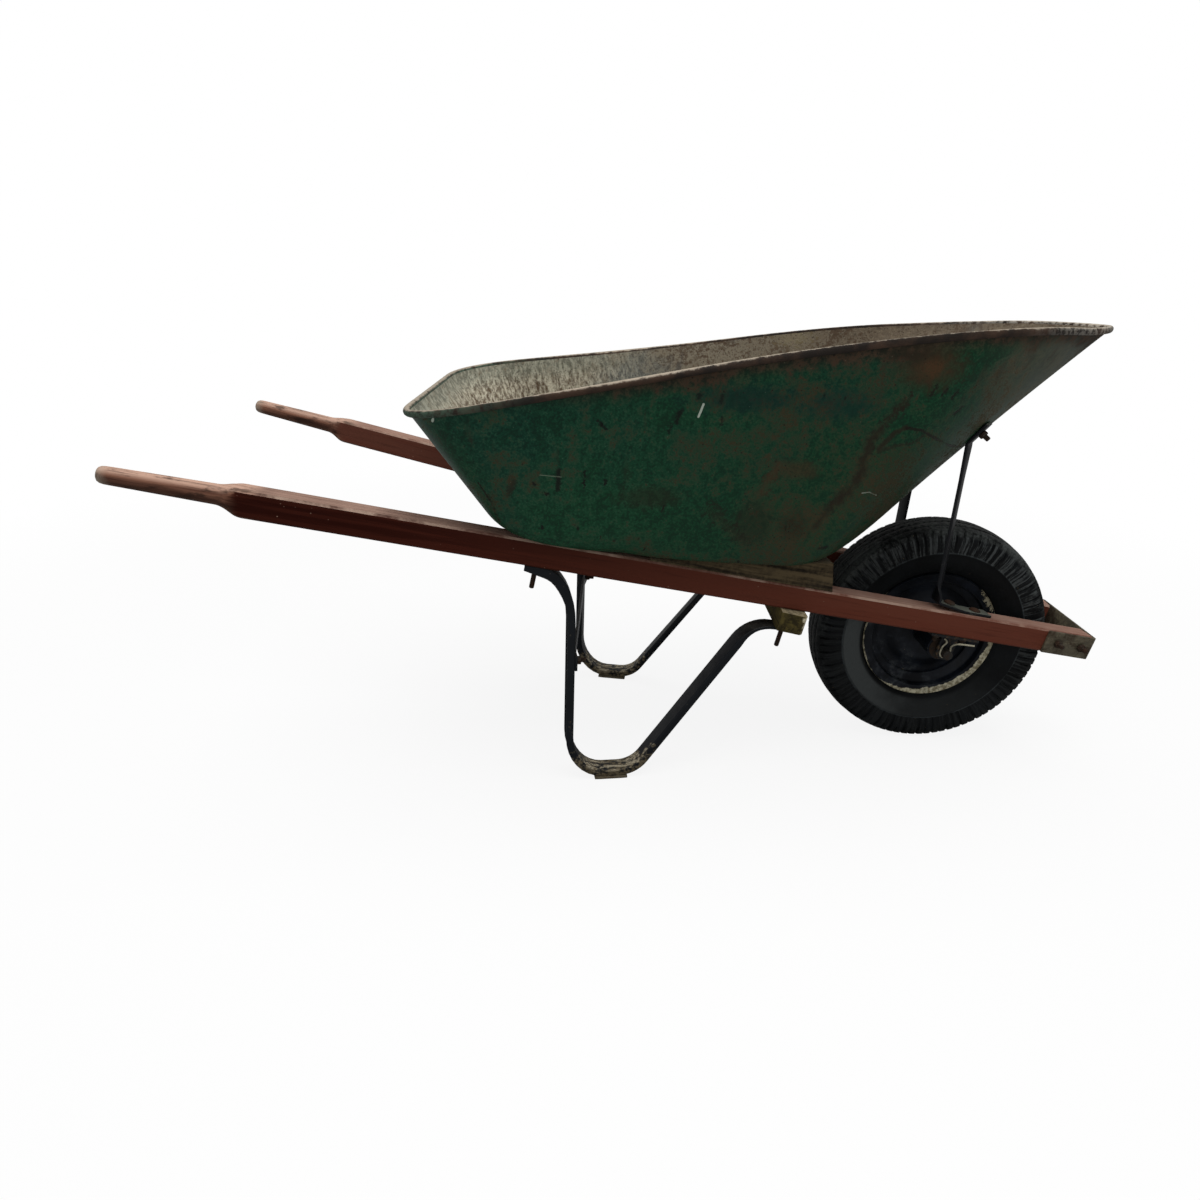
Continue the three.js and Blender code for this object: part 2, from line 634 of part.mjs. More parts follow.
function trayRings(columns) {
  const centre = new THREE.Vector3((TRAY_FLOOR.rear + TRAY_FLOOR.nose) / 2, 0, 0);
  const flat = (share) => columns.map(({ corner, inward }) => {
    const edge = corner.clone().addScaledVector(inward, FILLET_INWARD);
    const point = centre.clone().lerp(edge, share);
    point.z = floorUndersideAt(point.x);
    return point;
  });
  const fillet = (t) => columns.map(({ corner, inward, wall, filletUp }) => {
    const low = corner.clone().addScaledVector(inward, FILLET_INWARD);
    low.z = floorUndersideAt(low.x);
    const high = corner.clone().addScaledVector(wall, filletUp);
    return new THREE.QuadraticBezierCurve3(low, corner, high).getPoint(t);
  });
  const beadPoint = (angle) => columns.map(({ bead, inward }) => bead.clone()
    .addScaledVector(inward, -Math.cos(angle) * TRAY_BEAD_DIAMETER / 2)
    .add(new THREE.Vector3(0, 0, Math.sin(angle) * TRAY_BEAD_DIAMETER / 2)));
  // the skin meets the bead one sheet outside the inner skin
  const joint = Math.PI + Math.acos(1 - TRAY_SHEET / (TRAY_BEAD_DIAMETER / 2));
  const wallTop = beadPoint(joint);
  const wallFoot = fillet(1);
  const wallMiddle = wallFoot.map((foot, i) => foot.clone().lerp(wallTop[i], 0.5));
  const skin = [flat(0.35), flat(0.7), ...[0, 0.25, 0.5, 0.75, 1].map(fillet), wallMiddle];
  const tilt = [0, 0, 0, 0.25, 0.5, 0.75, 1, 1];
  const inside = skin.map((ring, k) => ring.map((point, i) => {
    const angle = Math.PI / 2 - tilt[k] * (Math.PI / 2 - columns[i].lean);
    return point.clone()
      .addScaledVector(columns[i].inward, Math.cos(angle) * TRAY_SHEET)
      .add(new THREE.Vector3(0, 0, Math.sin(angle) * TRAY_SHEET));
  }));
  const bead = [-1.5, -0.75, 0, 0.75, 1.5, 2.25, Math.PI].map(beadPoint);
  return [...skin, wallTop, ...bead, ...inside.reverse()];
}

function trayGeometry(columns) {
  return loft(trayRings(columns));
}

// Straps that hold the front of the tray; the foot climbs from its flat part to its bend
const footRampEnd = BRACE_FOOT_BACK + BRACE_BEND;
const footRamp = BRACE_FOOT_LIFT / (BRACE_FOOT_FLAT - BRACE_FOOT_BACK);
const footLiftAt = (x) => footRamp * Math.max(BRACE_FOOT_FLAT - x, 0);

function trayBrace(side, { at: knee, across: upAcross, up, out }) {
  const turn = new THREE.Matrix4().makeRotationZ(-side * TOE_IN).setPosition(0, side * HANDLE_SPREAD / 2, 0);
  const onShaft = chassis.matrix.clone().multiply(turn);
  const foot = (x, lift) => new THREE.Vector3(x, 0, HANDLE_HEIGHT / 2 + SEAT_GAP + lift).applyMatrix4(onShaft);
  const footAcross = new THREE.Vector3(0, side, 0).transformDirection(onShaft);
  const footNormal = new THREE.Vector3(0, 0, 1).transformDirection(onShaft);
  const back = foot(BRACE_FOOT_BACK, BRACE_FOOT_LIFT);
  const rise = knee.clone().sub(back).normalize();
  const frontward = footAcross.clone().cross(rise).multiplyScalar(side);
  const topFrontward = upAcross.clone().cross(rise).multiplyScalar(side);
  const heelBeside = foot(BRACE_FOOT_BACK + BRACE_BEND / 4, BRACE_FOOT_LIFT);
  const heel = back.clone().addScaledVector(rise, BRACE_BEND / 4).lerp(heelBeside, 0.5);
  const underKnee = (below, share) => ({
    at: knee.clone().addScaledVector(rise, -below),
    across: footAcross.clone().lerp(upAcross, share),
    normal: frontward.clone().lerp(topFrontward, share),
  });
  const stops = [
    { at: foot(BRACE_FOOT_FRONT, 0), across: footAcross, normal: footNormal },
    { at: foot(BRACE_FOOT_FLAT, 0), across: footAcross, normal: footNormal },
    { at: foot(footRampEnd, footLiftAt(footRampEnd)), across: footAcross, normal: footNormal },
    { at: heel, across: footAcross, normal: footNormal.clone().add(frontward) },
    { at: back.clone().addScaledVector(rise, BRACE_BEND), across: footAcross, normal: frontward },
    underKnee(BRACE_BEND + BRACE_TWIST, 0),
    underKnee(BRACE_BEND + BRACE_TWIST / 2, 0.5),
    underKnee(BRACE_BEND, 1),
    { at: knee.clone(), across: upAcross, normal: topFrontward.clone().add(out) },
    { at: knee.clone().addScaledVector(up, BRACE_BEND), across: upAcross, normal: out },
    { at: knee.clone().addScaledVector(up, BRACE_TAB), across: upAcross, normal: out },
  ];
  return strap(stops, BRACE_WIDTH, BRACE_SHEET);
}

// the outside of the tray wall where a brace reaches it
function traySurface(tray, side) {
  const probe = new THREE.Raycaster();
  const inwards = new THREE.Vector3(-1, 0, 0);
  const hitAt = (y, z) => {
    probe.set(new THREE.Vector3(TRAY_RIM.nose + TRAY_BEAD_DIAMETER * 4, y, z), inwards);
    return probe.intersectObject(tray)[0].point;
  };
  const y = side * BRACE_TOP_SPREAD / 2;
  const beside = side * BRACE_WIDTH / 2;
  const at = hitAt(y, BRACE_TOP_HEIGHT);
  const higher = hitAt(y, BRACE_TOP_HEIGHT + BRACE_TAB);
  const across = hitAt(y + beside, BRACE_TOP_HEIGHT).sub(hitAt(y - beside, BRACE_TOP_HEIGHT)).normalize();
  const up = higher.sub(at).normalize();
  up.addScaledVector(across, -up.dot(across)).normalize();
  const out = across.clone().cross(up).multiplyScalar(side).normalize();
  return { at: at.addScaledVector(out, BRACE_STANDOFF), across, up, out };
}

// how far the inside of the tray wall lies behind the flat end of a brace, all round the head of its bolt
function wallDepth(tray, { at, across, up, out }) {
  const probe = new THREE.Raycaster();
  const inside = BOLT_HEAD_DIAMETER * 2;
  const bolt = at.clone().addScaledVector(up, BRACE_TAB_BOLT).addScaledVector(out, -inside);
  let depth = 0;
  for (let k = 0; k < BOLT_FACETS; k++) {
    const angle = k / BOLT_FACETS * Math.PI * 2;
    const from = bolt.clone()
      .addScaledVector(across, Math.cos(angle) * BOLT_HEAD_DIAMETER / 2)
      .addScaledVector(up, Math.sin(angle) * BOLT_HEAD_DIAMETER / 2);
    probe.set(from, out);
    depth = Math.max(depth, inside - probe.intersectObject(tray)[0].distance);
  }
  return depth;
}

// Wheel, turned about the Y axis through the axle
function tyreGeometry() {
  const crown = TYRE_DIAMETER / 2;
  const half = TYRE_WIDTH / 2;
  const seat = RIM_SEAT_DIAMETER / 2 + SEAT_GAP;
  const flange = seat + RIM_FLANGE;
  const beadOut = RIM_WIDTH / 2 - RIM_SHEET - SEAT_GAP;
  const groove = crown - TREAD_DEPTH;
  const shoulder = crown - TREAD_DEPTH * 1.1;
  const innerRib = TREAD_RIB / 2;
  const outerRib = innerRib + TREAD_GROOVE + TREAD_RIB;
  // [radius, y, how much a sipe cuts it]
  const outer = [
    [seat, beadOut - 9, 0], [flange, beadOut, 0], [crown * 0.74, half * 0.96, 0],
    [crown * 0.88, half, 0], [crown * 0.91, half * 0.98, 0.6], [shoulder, half * 0.86, 1],
    [crown - 3, outerRib + TREAD_GROOVE, 1],
    [groove, outerRib + TREAD_GROOVE / 2, 0], [crown - 1.6, outerRib, 0.5],
    [crown - 0.6, innerRib + TREAD_GROOVE, 0.5], [groove, innerRib + TREAD_GROOVE / 2, 0],
    [crown, innerRib, 0],
  ];
  const inner = [
    [crown - TREAD_DEPTH - TYRE_WALL, 0, 0], [crown * 0.84, half - TYRE_WALL, 0],
  ];
  const mirrored = (list) => list.map(([r, y, sipe]) => [r, -y, sipe]).reverse();
  const section = [...outer, ...mirrored(outer), ...mirrored(inner.slice(1)), ...inner];
  const rings = [];
  const stepsPerLug = [[0, 0], [0.62, 0], [0.81, 1]];
  for (let lug = 0; lug < TREAD_LUGS; lug++) {
    for (const [share, sipe] of stepsPerLug) {
      const angle = (lug + share) / TREAD_LUGS * Math.PI * 2;
      rings.push(section.map(([r, y, cutBy]) => {
        const radius = r - sipe * cutBy * TREAD_DEPTH * 0.7;
        const lateral = y - Math.sign(y) * sipe * cutBy * 1.2;
        return new THREE.Vector3(radius * Math.sin(angle), lateral, radius * Math.cos(angle));
      }));
    }
  }
  rings.push(rings[0].map((point) => point.clone()));
  return new LoftGeometry(rings);
}

function rimGeometry() {
  const seat = RIM_SEAT_DIAMETER / 2 - RIM_SHEET / 2;
  const half = RIM_WIDTH / 2;
  const well = seat - RIM_WELL;
  const barrelHalf = [
    [seat + RIM_FLANGE, half], [seat + 2, half - RIM_SHEET / 2], [seat, half - 4], [seat, half * 0.5],
    [well, half * 0.32],
  ];
  const line = [...barrelHalf, ...barrelHalf.map(([r, y]) => [r, -y]).reverse()];
  const barrel = turned(sheetOutline(line, RIM_SHEET), RIM_FACETS);
  const hubHole = HUB_DIAMETER / 2 + SEAT_GAP;
  const discs = [-1, 1].map((side) => turned(sheetOutline([
    [well, side * 3], [well * 0.82, side * 4], [well * 0.6, side * DISC_DISH], [hubHole, side * DISC_DISH],
  ], RIM_SHEET), RIM_FACETS));
  const whole = join(barrel, ...discs);
  const valveHole = rod(VALVE_DIAMETER / 2 + HOLE_PLAY, RIM_WELL * 3, "z", 10);
  valveHole.translate(0, VALVE_OFFSET, -seat);
  return cut(whole, valveHole);
}

function innerTubeGeometry() {
  const crown = TYRE_DIAMETER / 2;
  const outerRadius = crown - TREAD_DEPTH - TYRE_WALL - SEAT_GAP * 4;
  const innerRadius = RIM_SEAT_DIAMETER / 2 + SEAT_GAP * 4;
  const middle = (outerRadius + innerRadius) / 2;
  const swell = (outerRadius - innerRadius) / 2;
  const halfWidth = TUBE_WIDTH / 2;
  const ring = (shrink) => {
    const outline = [];
    for (let k = 0; k <= 8; k++) {
      const angle = k / 8 * Math.PI * 2;
      const narrow = Math.sin(angle) < -0.5 ? 0.62 : 1;
      const beside = (halfWidth - shrink) * narrow;
      outline.push([middle + (swell - shrink) * Math.sin(angle), beside * Math.cos(angle)]);
    }
    return turned(outline, TUBE_FACETS);
  };
  const stemTop = innerRadius + swell * 0.5;
  const stemMiddle = VALVE_LENGTH / 2 - stemTop;
  const stem = rod(VALVE_DIAMETER / 2, VALVE_LENGTH, "z", 10).translate(0, VALVE_OFFSET, stemMiddle);
  const bore = rod(VALVE_DIAMETER / 5, VALVE_LENGTH * 1.2, "z", 6).translate(0, VALVE_OFFSET, stemMiddle);
  const hollow = ring(TUBE_WALL);
  return cut(join(ring(0), stem), hollow, bore);
}

function hubGeometry() {
  const outer = HUB_DIAMETER / 2;
  const bore = outer - HUB_WALL;
  const half = HUB_LENGTH / 2;
  return turned([[bore, -half], [outer, -half], [outer, half], [bore, half], [bore, -half]], SHAFT_FACETS);
}

function bearingGeometry() {
  const outer = HUB_DIAMETER / 2 - HUB_WALL - SEAT_GAP;
  const lip = HUB_DIAMETER / 2 - 2;
  const bore = AXLE_DIAMETER / 2 + SEAT_GAP;
  return turned([
    [bore, -BEARING_LENGTH], [outer, -BEARING_LENGTH], [outer, SEAT_GAP], [lip, SEAT_GAP],
    [lip, BEARING_LIP], [bore, BEARING_LIP], [bore, -BEARING_LENGTH],
  ], SHAFT_FACETS);
}

const clipAt = HANDLE_SPREAD / 2 - BRACKET_EAR_INSET + BRACKET_SHEET / 2 + CLIP_WIRE / 2 + CLIP_PLAY;

function axleGeometry() {
  const radius = AXLE_DIAMETER / 2;
  const waist = radius - AXLE_GROOVE;
  const half = AXLE_LENGTH / 2;
  const near = clipAt - CLIP_WIRE / 2 - SEAT_GAP;
  const far = clipAt + CLIP_WIRE / 2 + SEAT_GAP;
  const end = [[waist, near], [waist, far], [radius, far], [radius, half - 1], [radius - 1, half], [0, half]];
  const start = end.map(([r, y]) => [r, -y]).reverse();
  return turned([...start, [radius, -near], [radius, near], ...end], SHAFT_FACETS);
}

// a bent spring wire that grips the groove from below; its long end swings out past the bracket bolt
function clipGeometry(side) {
  const hold = AXLE_DIAMETER / 2 - AXLE_GROOVE + CLIP_WIRE / 2 + SEAT_GAP;
  const wire = [[-hold * 0.6, hold * 3, 0], [0, hold * 2.3, 0], [-hold * 0.75, hold * 1.25, 0]];
  for (let k = 0; k <= 8; k++) {
    const angle = THREE.MathUtils.degToRad(160 + k * 27.5);
    wire.push([hold * Math.cos(angle), hold * Math.sin(angle), 0]);
  }
  wire.push(
    [hold * 0.9, hold * 1.2, 0], [hold * 1.15, hold * 2, hold * 0.6], [hold * 1.9, hold * 2.45, CLIP_SWING],
    [hold * 4.8, hold * 2.2, CLIP_SWING + 1],
  );
  const points = wire.map(([x, z, out]) => new THREE.Vector3(x, side * out, z));
  const curve = new THREE.CatmullRomCurve3(points, false, "catmullrom", 0.4);
  const section = new THREE.Shape();
  for (let k = 0; k < 5; k++) {
    const angle = k / 5 * Math.PI * 2;
    const to = [Math.cos(angle) * CLIP_WIRE / 2, Math.sin(angle) * CLIP_WIRE / 2];
    if (k === 0) section.moveTo(...to);
    else section.lineTo(...to);
  }
  section.closePath();
  return new THREE.ExtrudeGeometry(section, { steps: 28, extrudePath: curve, bevelEnabled: false });
}

// Axle bracket, in the chassis frame at its shaft
function bracketGeometry(side) {
  const under = -HANDLE_HEIGHT / 2 - SEAT_GAP;
  const middle = (AXLE_BOLTS[0] + AXLE_BOLTS[1]) / 2;
  const plate = new THREE.BoxGeometry(BRACKET_LENGTH, BRACKET_WIDTH, BRACKET_SHEET);
  plate.translate(middle, 0, under - BRACKET_SHEET / 2).rotateZ(-side * TOE_IN);
  const round = BRACKET_EAR / 2;
  const ear = new THREE.Shape();
  ear.moveTo(axleInChassis.x - round, under - BRACKET_SHEET / 2);
  ear.lineTo(axleInChassis.x - round, axleInChassis.y);
  ear.absarc(axleInChassis.x, axleInChassis.y, round, Math.PI, Math.PI * 2, false);
  ear.lineTo(axleInChassis.x + round, under - BRACKET_SHEET / 2);
  ear.closePath();
  const tab = new THREE.ExtrudeGeometry(ear, { depth: BRACKET_SHEET, bevelEnabled: false, curveSegments: 8 });
  const earY = -side * BRACKET_EAR_INSET;
  tab.rotateX(Math.PI / 2).translate(0, earY + BRACKET_SHEET / 2, 0);
  const hole = rod(AXLE_DIAMETER / 2 + SEAT_GAP, BRACKET_WIDTH * 2, "y", 16);
  hole.translate(axleInChassis.x, 0, axleInChassis.y);
  return cut(join(plate, tab), hole);
}

// Strap round the front ends, in the chassis frame
function noseStrapGeometry() {
  const frontX = HANDLE_NOSE * Math.cos(TOE_IN) + HANDLE_WIDTH / 2 * Math.sin(TOE_IN) + NOSE_STRAP_STANDOFF;
  const plateEnd = (HANDLE_NOSE - NOSE_STRAP_LENGTH) * Math.cos(TOE_IN);
  const overAxle = HANDLE_SPREAD / 2 + HANDLE_WIDTH / 2 / Math.cos(TOE_IN) + SEAT_GAP;
  const faceAt = (x) => overAxle - x * Math.tan(TOE_IN);
  const corners = [
    [plateEnd, -faceAt(plateEnd), 0], [frontX, -faceAt(frontX), NOSE_STRAP_RADIUS],
    [frontX, faceAt(frontX), NOSE_STRAP_RADIUS], [plateEnd, faceAt(plateEnd), 0],
  ];
  const rings = route(corners, 4).map(({ at, along }) => {
    const out = new THREE.Vector2(along.y, -along.x);
    const ring = [];
    for (const [depth, z] of [[0, -1], [0, 1], [NOSE_STRAP_SHEET, 1], [NOSE_STRAP_SHEET, -1]]) {
      ring.push(new THREE.Vector3(at.x + out.x * depth, at.y + out.y * depth, z * NOSE_STRAP_HEIGHT / 2));
    }
    return ring;
  });
  return loft(rings);
}

// Strap between the legs, bent at its ends to lie flat on the webs
function legBraceGeometry() {
  const stops = [];
  for (const { side } of SIDES) {
    const across = new THREE.Vector3(0, 0, 1);
    const ahead = new THREE.Vector3(Math.cos(TOE_IN), -side * Math.sin(TOE_IN), 0);
    const beside = new THREE.Vector3(side * Math.sin(TOE_IN), Math.cos(TOE_IN), 0);
    const web = new THREE.Vector3(0, side * HANDLE_SPREAD / 2, LEG_BRACE_HEIGHT)
      .addScaledVector(ahead, postAt(side) + SEAT_GAP);
    const outer = web.clone().addScaledVector(beside, side * (LEG_WIDTH / 2 - 2));
    const inner = web.clone().addScaledVector(beside, -side * LEG_BRACE_TAB);
    const onward = new THREE.Vector3(1, 0, 0);
    const tab = [{ at: outer, across, normal: ahead }, { at: inner, across, normal: onward }];
    stops.push(...(side < 0 ? tab : tab.reverse()));
  }
  return strap(stops, LEG_BRACE_WIDTH, LEG_BRACE_SHEET);
}

// Assembly
chassis.updateMatrix();
const barrow = new THREE.Group();
barrow.add(chassis);

const trayAround = trayColumns();
const tray = piece("tray", trayGeometry(trayAround), greenPaint);
barrow.add(tray);
barrow.updateMatrixWorld(true);

const crossBar = piece("cross_bar", crossBarGeometry(), yellowWood);
const noseStrap = piece("nose_strap", noseStrapGeometry(), wornSteel);
const legBrace = piece("leg_brace", legBraceGeometry(), blackPaint);
chassis.add(crossBar, noseStrap);
barrow.add(legBrace);

for (const { side, label } of SIDES) {
  const shaftFrame = placed(new THREE.Group(), [0, side * HANDLE_SPREAD / 2, 0], [0, 0, -side * TOE_IN]);
  chassis.add(shaftFrame);
  const handle = piece(`handle_${label}`, shaftGeometry(), redPaint);
  const riser = piece(`riser_${label}`, riserGeometry(), greyWood);
  shaftFrame.add(handle, riser);

  const legFrame = placed(new THREE.Group(), [0, side * HANDLE_SPREAD / 2, 0], [0, 0, -side * TOE_IN]);
  barrow.add(legFrame);
  const post = postAt(side);
  const leg = piece(`leg_${label}`, legGeometry(post), blackPaint);
  const shoe = piece(`leg_shoe_${label}`, shoeGeometry(post), wornSteel);
  legFrame.add(leg, shoe);

  const bracketFrame = placed(new THREE.Group(), [0, side * HANDLE_SPREAD / 2, 0]);
  chassis.add(bracketFrame);
  const bracket = piece(`axle_bracket_${label}`, bracketGeometry(side), blackPaint);
  bracketFrame.add(bracket);

  const surface = traySurface(tray, side);
  const brace = piece(`tray_brace_${label}`, trayBrace(side, surface), blackPaint);
  barrow.add(brace);

  // tray bolts: head in the tray, nut under the leg
  const inset = -side * TRAY_BOLT_INSET;
  const trayBolts = [
    ["rear", TRAY_BOLT_REAR + post - LEG_POST, 0], ["front", TRAY_BOLT_FRONT, BAR_HEIGHT + SEAT_GAP],
  ];
  for (const [name, along, extra] of trayBolts) {
    const x = along / Math.cos(TOE_IN);
    let over = HANDLE_HEIGHT / 2;
    for (let k = 0; k < 6; k++) {
      const worldX = along * Math.cos(FALL) + over * Math.sin(FALL);
      const worldZ = floorUndersideAt(worldX) + TRAY_SHEET;
      over = toChassis(worldX, worldZ).y;
    }
    const pitch = name === "front" ? riserPitch : 0;
    const headSeat = over + BOLT_HEAD_DIAMETER / 2 * Math.tan(pitch) + SEAT_GAP;
    const legDrop = LEG_WIDTH * Math.sin(TOE_IN) * slope + LEG_SHEET;
    const legSeat = HANDLE_HEIGHT / 2 + extra + legDrop + SEAT_GAP * 4;
    const bolt = fastener(`tray_${name}_${label}`, headSeat + legSeat, TRAY_BOLT_TAIL);
    shaftFrame.add(placed(bolt, [x, inset, headSeat]));
    passes(bolt, tray, handle, leg);
    if (name === "front") passes(bolt, riser, crossBar);
  }

  // axle bolts: head on the foot of the brace, nut under the bracket
  AXLE_BOLTS.forEach((x, i) => {
    const lift = footLiftAt(x - BOLT_HEAD_DIAMETER / 2);
    const headSeat = HANDLE_HEIGHT / 2 + SEAT_GAP * 2 + BRACE_SHEET + lift;
    const under = HANDLE_HEIGHT / 2 + SEAT_GAP * 2 + BRACKET_SHEET;
    const bolt = fastener(`axle_${i ? "front" : "rear"}_${label}`, headSeat + under, AXLE_BOLT_TAIL);
    shaftFrame.add(placed(bolt, [x, 0, headSeat]));
    passes(bolt, brace, handle, bracket);
  });

  // strap bolts: head on the inner face, nut on the strap
  STRAP_BOLTS.forEach((along, i) => {
    const x = HANDLE_NOSE - NOSE_STRAP_LENGTH + along;
    const headSeat = HANDLE_WIDTH / 2 + SEAT_GAP;
    const bolt = fastener(`strap_${i ? "front" : "rear"}_${label}`,
      HANDLE_WIDTH + NOSE_STRAP_SHEET + SEAT_GAP * 3, STRAP_BOLT_TAIL);
    shaftFrame.add(placed(bolt, [x, -side * headSeat, 0], [side * Math.PI / 2, 0, 0]));
    passes(bolt, handle, noseStrap);
  });

  // bolt of the brace through the tray wall: head inside, nut outside
  const wallBuild = wallDepth(tray, surface) + SEAT_GAP;
  const wallBolt = fastener(`brace_top_${label}`, wallBuild + BRACE_SHEET + SEAT_GAP, SMALL_BOLT_TAIL);
  const seat = surface.at.clone().addScaledVector(surface.up, BRACE_TAB_BOLT)
    .addScaledVector(surface.out, -wallBuild);
  wallBolt.position.copy(seat);
  wallBolt.quaternion.setFromUnitVectors(new THREE.Vector3(0, 0, -1), surface.out);
  barrow.add(wallBolt);
  passes(wallBolt, tray, brace);

  // bolt of the leg strap: head inside the channel, nut in front
  const legBolt = fastener(`leg_brace_${label}`, LEG_SHEET + LEG_BRACE_SHEET + SEAT_GAP * 3, SMALL_BOLT_TAIL);
  legFrame.add(placed(legBolt, [post - LEG_SHEET - SEAT_GAP, 0, LEG_BRACE_HEIGHT], [0, -Math.PI / 2, 0]));
  passes(legBolt, leg, legBrace);

  const clip = piece(`axle_clip_${label}`, clipGeometry(side), wireSteel);
  barrow.add(placed(clip, [0, side * clipAt, AXLE_HEIGHT]));
}

barrow.add(placed(piece("axle", axleGeometry(), wornSteel), [0, 0, AXLE_HEIGHT]));

const wheel = placed(new THREE.Group(), [0, 0, AXLE_HEIGHT]);
wheel.add(
  piece("tyre", tyreGeometry(), blackRubber),
  piece("inner_tube", innerTubeGeometry(), blackRubber),
  piece("rim", rimGeometry(), navyPaint),
  piece("hub", hubGeometry(), navyPaint),
);
for (const { side, label } of SIDES) {
  const bearing = piece(`bearing_${label}`, bearingGeometry(), wornSteel);
  wheel.add(placed(bearing, [0, side * HUB_LENGTH / 2, 0], [side < 0 ? Math.PI : 0, 0, 0]));
}
barrow.add(wheel);

drillAll(barrow);

// the origin is on the ground, under the middle of the whole barrow
const box = new THREE.Box3().setFromObject(barrow, true);
barrow.position.set(-(box.min.x + box.max.x) / 2, -(box.min.y + box.max.y) / 2, -box.min.z);
const wheelbarrow = new THREE.Group();
wheelbarrow.add(barrow);
wheelbarrow.updateMatrixWorld(true);

export default wheelbarrow;
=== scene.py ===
"""A worn and rusty wheelbarrow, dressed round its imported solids: steel tray, wooden shafts, bent legs, one wheel."""

import enum
import logging
import math
from collections.abc import Callable, Iterable, Sequence
from dataclasses import dataclass, field

import bmesh
import bpy
import numpy as np
from mathutils import Matrix, Vector


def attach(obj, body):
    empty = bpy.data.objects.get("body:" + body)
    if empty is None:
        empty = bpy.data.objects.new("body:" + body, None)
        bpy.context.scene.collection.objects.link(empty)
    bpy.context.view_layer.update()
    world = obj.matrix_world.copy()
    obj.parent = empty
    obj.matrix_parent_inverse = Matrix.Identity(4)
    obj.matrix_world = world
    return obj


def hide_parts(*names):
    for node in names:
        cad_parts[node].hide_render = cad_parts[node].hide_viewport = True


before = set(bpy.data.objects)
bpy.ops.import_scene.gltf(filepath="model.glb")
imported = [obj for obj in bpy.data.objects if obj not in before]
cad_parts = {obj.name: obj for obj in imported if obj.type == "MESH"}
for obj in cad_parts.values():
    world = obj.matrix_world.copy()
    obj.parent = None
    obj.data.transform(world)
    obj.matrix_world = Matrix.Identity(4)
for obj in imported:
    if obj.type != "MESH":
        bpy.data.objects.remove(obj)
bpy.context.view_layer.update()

log = logging.getLogger("wheelbarrow")

Colour = tuple[float, float, float, float]
Point = tuple[float, float, float]
Point2 = tuple[float, float]
Piece = bpy.types.Object
Paint = bpy.types.Material

# the places that several pieces share, in metres
AXLE = Vector((0.49981, 0.0, 0.2015))
TOE_IN = math.radians(7.95)
FALL = math.radians(11.29)
SHAFT_SPREAD = 0.2064
SHAFT_OVER_AXLE = 0.058


class Side(enum.IntEnum):
    """The two sides of the barrow, as the person who pushes it sees them."""

    RIGHT = -1
    LEFT = 1

    @property
    def label(self) -> str:
        """The side's name as it stands in the names of the pieces."""
        return self.name.lower()


def srgb(red: float, green: float, blue: float) -> Colour:
    """A colour written in 0 to 255 display values, as shaders take it."""
    def linear(value: float) -> float:
        share = value / 255
        return share / 12.92 if share <= 0.04045 else ((share + 0.055) / 1.055) ** 2.4
    return (linear(red), linear(green), linear(blue), 1.0)


def shaded(colour: Colour, share: float) -> Colour:
    """A colour made darker or lighter by a share."""
    return tuple(part * share for part in colour[:3]) + (1.0,)


def eased(share: float) -> float:
    """A smooth step: 0 up to 0, 1 from 1 on."""
    share = min(max(share, 0.0), 1.0)
    return share * share * (3 - 2 * share)


# Shader sockets and node trees


def operator(operation: str, swapped: bool = False) -> Callable[["Wire", "Wire | float"], "Wire"]:
    """A method of Wire that puts the socket and another value through one Math node.

    Args:
        operation: the Math node's operation.
        swapped: whether the other value comes first.

    Returns:
        The method.
    """
    def apply(self: "Wire", other: "Wire | float") -> "Wire":
        """The Math node's result."""
        return self.maths(operation, *((other, self) if swapped else (self, other)))
    return apply


class Wire:
    """A shader socket that takes part in arithmetic."""

    def __init__(self, graph: "Graph", socket: bpy.types.NodeSocket) -> None:
        """Keeps the socket with the tree it belongs to."""
        self.graph = graph
        self.socket = socket

    def maths(self, operation: str, *values: "Wire | float") -> "Wire":
        """The result of a Math node on the given values."""
        return self.graph.out("ShaderNodeMath", {"operation": operation}, dict(enumerate(values)))

    __add__ = __radd__ = operator("ADD")
    __sub__, __rsub__ = operator("SUBTRACT"), operator("SUBTRACT", True)
    __mul__ = __rmul__ = operator("MULTIPLY")
    __truediv__ = operator("DIVIDE")
    __pow__ = operator("POWER")
    most = operator("MAXIMUM")
    least = operator("MINIMUM")

    def __abs__(self) -> "Wire":
        """The value without its sign."""
        return self.maths("ABSOLUTE", self)

    def band(self, low: "Wire | float", high: "Wire | float") -> "Wire":
        """A smooth step: 0 at low and 1 at high, whichever is larger."""
        return self.graph.out(
            "ShaderNodeMapRange", {"interpolation_type": "SMOOTHSTEP"}, {0: self, 1: low, 2: high, 3: 0.0, 4: 1.0})


